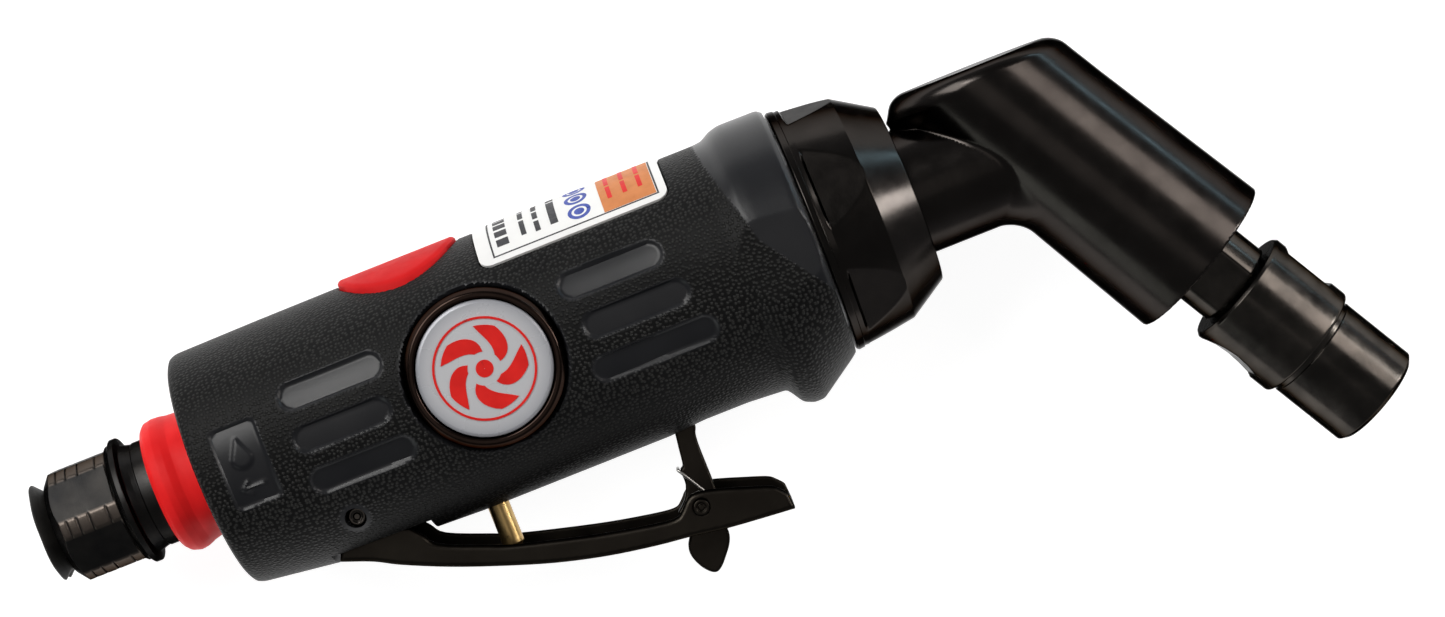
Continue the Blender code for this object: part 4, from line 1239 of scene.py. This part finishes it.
def make_valve_spring():
    """The coil under the valve, which the valve squeezes as the lever is pressed."""
    coil, wire, turns, steps_a_turn = 2.5, 0.3, 5, 24
    bottom, top = ((TOOL.inverted() @ Vector(corner)).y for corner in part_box("valve_spring"))
    share = np.linspace(0, 1, turns * steps_a_turn + 1)
    rise = bottom + wire + (top - bottom - 2 * wire) * share
    angle = 2 * math.pi * turns * share
    points = np.stack((rise, coil * np.cos(angle), coil * np.sin(angle)), axis=1)
    line = TOOL @ Matrix.Translation((VALVE_X, 0, 0)) @ ACROSS
    spring = tube(
        "valve_coil", points, wire, "housing", "steel", line, sides=12, replaces=["valve_spring"],
        slot="plain_steel",
    )
    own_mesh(spring)


# ---------------------------------------------------------------- head


def make_clamp_nut():
    profile = (
        (97.25, 15.8), (97.25, 19.0, 0.2), (97.6, 19.25, 0.2), (98.5, 19.15, 0.1), (98.6, 18.95, 0.05),
        (99.5, 19.0, 0.08), (107.1, 17.8, 0.28), (113.2, 13.95, 0.3), (113.2, 10.2, 0.25),
        (106.3, 10.2), (106.3, 15.8),
    )
    lathe(
        "clamp_ring", profile, "housing", "nut", sides=420, step=0.22, loop=True,
        shape=hexed(17.76, 99.4, 120, NUT_TURN, 0.08), replaces=["clamp_nut"], slot="black_steel",
    )


# Head casting: bars along the motor's axis, and a barrel along the spindle's.
NECK_BARS = ((84.6, 103.3, 12.3), (103.3, 106.0, 15.2), (105.0, 138.2, 9.8))  # low, high, radius
NECK_BORES = ((7.6, 134.2), (9.5, 92.3))  # radius, front end
BARREL_GIRTH = ((-30, 0, 28.7), (12.35, 12.6, 13.2))  # radius by place along the spindle's axis
BARREL_BORES = ((9.5, -9.0), (10.8, 25.7))  # radius, rear end
BARREL_TOP, BARREL_REAR = 14.45, 114.3  # flat cuts, by height and by place along the tool
BARREL_FRONT = 29.3  # along the spindle's axis
DOME_EDGE = ((113.0, 132.0), (4.8, 2.0))  # rounding by place along the tool
NECK_FILLET = ((-10.0, -4.5, 8.8, 11.0), (2.8, 0.4, 0.4, 5.5))  # rounding by height
FILLET_START, PLAIN_FILLET = 112, 0.3


def make_head():
    """Neck and barrel as one casting, with a deep fillet under the neck and a crease above it."""
    turn = HEAD.to_3x3().normalized() @ Vector((1, 0, 0))
    forward = np.array((turn.x, turn.y))
    aside = np.array((-turn.y, turn.x))
    crossing = (TOOL.inverted() @ HEAD).translation

    def tubes(x, radial, *runs):
        """Union of round bars on the motor axis, each (low, high, radius)."""
        shape = None
        for low, high, radius in runs:
            bar = smooth_max(radial - radius, np.maximum(low - x, x - high), 0.25)
            shape = bar if shape is None else np.minimum(shape, bar)
        return shape

    def field(x, y, z):
        radial = np.hypot(y, z)
        neck = tubes(x, radial, *NECK_BARS)
        s = (x - crossing.x) * forward[0] + (y - crossing.y) * forward[1]
        p = (x - crossing.x) * aside[0] + (y - crossing.y) * aside[1]
        round_part = np.hypot(p, z)
        girth = np.interp(s, *BARREL_GIRTH)
        barrel = smooth_max(round_part - girth, y - BARREL_TOP, np.interp(x, *DOME_EDGE))
        barrel = smooth_max(barrel, s - BARREL_FRONT, 0.3)
        barrel = smooth_max(barrel, BARREL_REAR - x, 1.4)
        fillet = np.where(x > FILLET_START, np.interp(y, *NECK_FILLET), PLAIN_FILLET)
        shape = -smooth_max(-neck, -barrel, fillet)
        holes = [np.maximum(radial - radius, x - end) for radius, end in NECK_BORES]
        holes += [np.maximum(round_part - radius, start - s) for radius, start in BARREL_BORES]
        return smooth_max(shape, -np.minimum.reduce(holes), 0.3)

    points, faces, normals = meshed_field(field, (84.0, -34.6, -14.2), (164.4, 15.2, 14.2), 0.4)
    add_piece(
        "head_casting", points, faces, TOOL, "housing", "head", replaces=["angle_head"], slot="head_black",
        normals=normals,
    )


def make_cap():
    profile = (
        (26.0, 7.0), (26.0, 10.5, 0.2), (28.9, 10.5, 0.35), (28.9, 9.1, 0.05), (28.55, 9.0, 0.05),
        (28.55, 8.6, 0.05), (28.9, 8.5, 0.05), (28.9, 7.0, 0.3),
    )
    lathe(
        "front_cap", profile, "housing", "spindle", HEAD, sides=120, step=0.4, loop=True,
        replaces=["bearing_cap"], slot="black_steel",
    )


# Floors of the spanner flats: how far along the head's axis, and how far from it.
SPINDLE_FLAT = ((29.0, 7.0), (29.4, 5.5), (36.2, 5.5))
UPPER_NUT_FLAT = ((38.2, 9.6), (38.9, 8.5), (46.9, 8.5), (47.1, 9.0), (47.6, 9.5))
LOWER_NUT_FLAT = (
    (37.0, 9.5), (38.6, 9.0), (40.4, 8.58), (42.6, 8.4), (44.8, 8.55), (46.7, 8.85), (46.85, 9.5),
)


def flats(turn, *sides, edge=0.1):
    """A shape rule for lathe: two opposite flats, each given as (along, height) points of its floor."""

    def rule(along, radius, angle):
        solid = radius > 0.6 * max(radius.flat)
        for index, floor in enumerate(sides):
            off = (angle - turn - index * math.pi + math.pi) % (2 * math.pi) - math.pi
            height = np.interp(along, *zip(*floor))
            flat = height / np.maximum(np.cos(off), 0.05)
            cut_radius = -smooth_max(-radius, -flat, edge)
            radius = np.where(solid & (flat < radius + 0.5), np.minimum(radius, cut_radius), radius)
        return radius

    return rule


def make_spindle():
    profile = (
        (2.6, 0), (2.6, 4.0, 0.3), (25.6, 4.0), (25.6, 6.67, 0.2), (36.1, 6.67, 0.25), (36.1, 5.7),
        (52.0, 5.7, 0.2), (52.0, 4.4), (38.0, 4.4), (38.0, 0),
    )
    lathe(
        "output_spindle", profile, "spindle_group", "spindle", HEAD, sides=144, step=0.2,
        shape=flats(SPINDLE_TURN, SPINDLE_FLAT, SPINDLE_FLAT), replaces=["spindle"],
        slot="black_steel",
    )
    profile = (
        (36.4, 6.0), (36.4, 9.0, 0.2), (36.9, 9.4, 0.15), (50.25, 9.4, 0.9), (50.3, 8.35, 0.05),
        (51.1, 8.2, 0.05), (51.3, 8.4, 0.1), (63.3, 8.4, 0.25), (64.0, 7.6, 0.3), (64.0, 4.9, 0.15),
        (63.7, 4.75, 0.1), (60.4, 4.75), (57.2, 6.0),
    )
    lathe(
        "chuck_nut", profile, "collet_nut", "spindle", HEAD, sides=240, step=0.2, loop=True,
        shape=flats(0.0, UPPER_NUT_FLAT, LOWER_NUT_FLAT), replaces=["collet_nut"], slot="black_steel",
    )


# ---------------------------------------------------------------- CAD nodes that stay


def dress_nodes():
    """Materials for the nodes that are shown as they are."""
    groups = {
        "steel": (
            "wave_washer", "rear_end_plate", "front_end_plate", "rear_bearing", "front_bearing",
            "pinion_rear_bearing", "pinion_front_bearing", "spindle_rear_bearing",
            "spindle_front_bearing", "bearing_spacer", "bevel_gear", "collet",
        ),
        "ground_steel": ("rotor_cylinder", "rotor", "pinion_shaft"),
        "core": ("motor_core",),
        "brass": ("inlet_screen", "valve_bushing", "valve_head"),
        "rubber": ("ring_seal", "stem_seal", "valve_seat"),
        "felt": ("silencer",),
        "vane": tuple(f"vane_{index}" for index in range(1, 5)),
    }
    for look, names in groups.items():
        for name in names:
            mesh = frame["nodes"][name].data
            mesh.materials.clear()
            mesh.materials.append(LOOKS[look])


# ---------------------------------------------------------------- floor, light and camera


def make_floor():
    radius, sides, gap, glow = 2.5, 96, 0.0001, 0.92
    work = bmesh.new()
    bmesh.ops.create_circle(work, cap_ends=True, radius=radius, segments=sides)
    mesh = bpy.data.meshes.new("floor")
    work.to_mesh(mesh)
    work.free()
    floor = bpy.data.objects.new("floor", mesh)
    floor.location.z = CAD_BOX[0].z - gap
    bpy.context.scene.collection.objects.link(floor)
    material, _, shader = new_material("floor_look")
    shader.inputs["Base Color"].default_value = (0.4, 0.4, 0.4, 1)
    shader.inputs["Roughness"].default_value = 0.8
    shader.inputs["Specular IOR Level"].default_value = 0.1
    shader.inputs["Emission Color"].default_value = (1, 1, 1, 1)
    shader.inputs["Emission Strength"].default_value = glow
    mesh.materials.append(material)


def softbox(name, direction, distance, size, glow, tint):
    """An area light that faces the middle of the tool. size is (wide, high) in metres, and glow
    is its brightness: a white card in full light is 1."""
    middle = (CAD_BOX[0] + CAD_BOX[1]) / 2
    light = bpy.data.lights.new(name, "AREA")
    light.shape = "RECTANGLE"
    light.size, light.size_y = size
    light.energy = glow * math.pi * size[0] * size[1]
    light.color = tint
    lamp = bpy.data.objects.new(name, light)
    arm = Vector(direction).normalized()
    lamp.location = middle + arm * distance
    lamp.rotation_mode = "QUATERNION"
    lamp.rotation_quaternion = (-arm).to_track_quat("-Z", "Y")
    lamp.visible_camera = False
    bpy.context.scene.collection.objects.link(lamp)


def make_lights():
    warm, neutral, cool, pale_green = (1.0, 0.93, 0.88), (1.0, 0.99, 0.97), (0.5, 0.82, 1.0), (0.9, 1.0, 0.94)
    softbox("key", (-0.42, 0.58, 0.70), 0.8, (0.5, 0.55), 4.6, neutral)
    softbox("right_spot", (0.92, 0.03, 0.38), 0.6, (0.12, 0.12), 16.0, neutral)
    softbox("right_panel", (0.74, 0.20, 0.64), 0.75, (0.26, 0.32), 4.0, warm)
    softbox("core", (-0.20, 0.60, 0.78), 0.8, (0.12, 0.12), 9.0, neutral)
    softbox("front_panel", (-0.1, 0.0, 1.0), 1.0, (0.5, 0.4), 0.35, warm)
    softbox("window", (0.861, 0.497, 0.105), 0.8, (0.35, 0.05), 6.0, cool)
    softbox("low_left", (-0.83, -0.48, 0.30), 0.9, (0.35, 0.35), 0.9, pale_green)
    world = bpy.data.worlds.new("studio")
    world.use_nodes = True
    tree = world.node_tree
    direction = node(tree, "ShaderNodeTexCoord").outputs["Generated"]
    height = node(tree, "ShaderNodeSeparateXYZ", {0: direction}).outputs["Z"]
    share = spread(tree, height, 0.05, 0.6, smooth=True)
    tone = blended(tree, share, (0.24, 0.24, 0.25), (0.12, 0.12, 0.12))
    tree.links.new(tone, tree.nodes["Background"].inputs["Color"])
    tree.nodes["Background"].inputs["Strength"].default_value = 1.0
    bpy.context.scene.world = world
    bpy.context.scene.view_settings.view_transform = "Standard"


def make_camera():
    tilt, turn = VIEW_TILT, VIEW_TURN
    up_the_tool = Vector((0, math.cos(tilt), -math.sin(tilt)))
    along = Vector((1, 0, 0))
    right = along * math.cos(turn) - up_the_tool * math.sin(turn)
    up = along * math.sin(turn) + up_the_tool * math.cos(turn)
    back = Vector((0, math.sin(tilt), math.cos(tilt)))
    aim = TOOL @ Vector(VIEW_AIM)
    data = bpy.data.cameras.new("view")
    data.lens, data.sensor_width = VIEW_LENS, SENSOR
    data.clip_start, data.clip_end = 0.01, 20
    camera = bpy.data.objects.new("view", data)
    axes = Matrix((right, up, back)).transposed().to_4x4()
    camera.matrix_world = Matrix.Translation(aim + back * VIEW_DISTANCE * MM) @ axes
    bpy.context.scene.collection.objects.link(camera)
    bpy.context.scene.camera = camera


make_camera()
make_grip()
make_insert()
make_label()
make_badge("near", math.radians(-90))
make_badge("far", math.radians(90))
make_inlet()
make_lever()
make_catch()
make_catch_spring()
make_pins()
make_stem()
make_valve_spring()
make_clamp_nut()
make_head()
make_cap()
make_spindle()
dress_nodes()
make_floor()
make_lights()
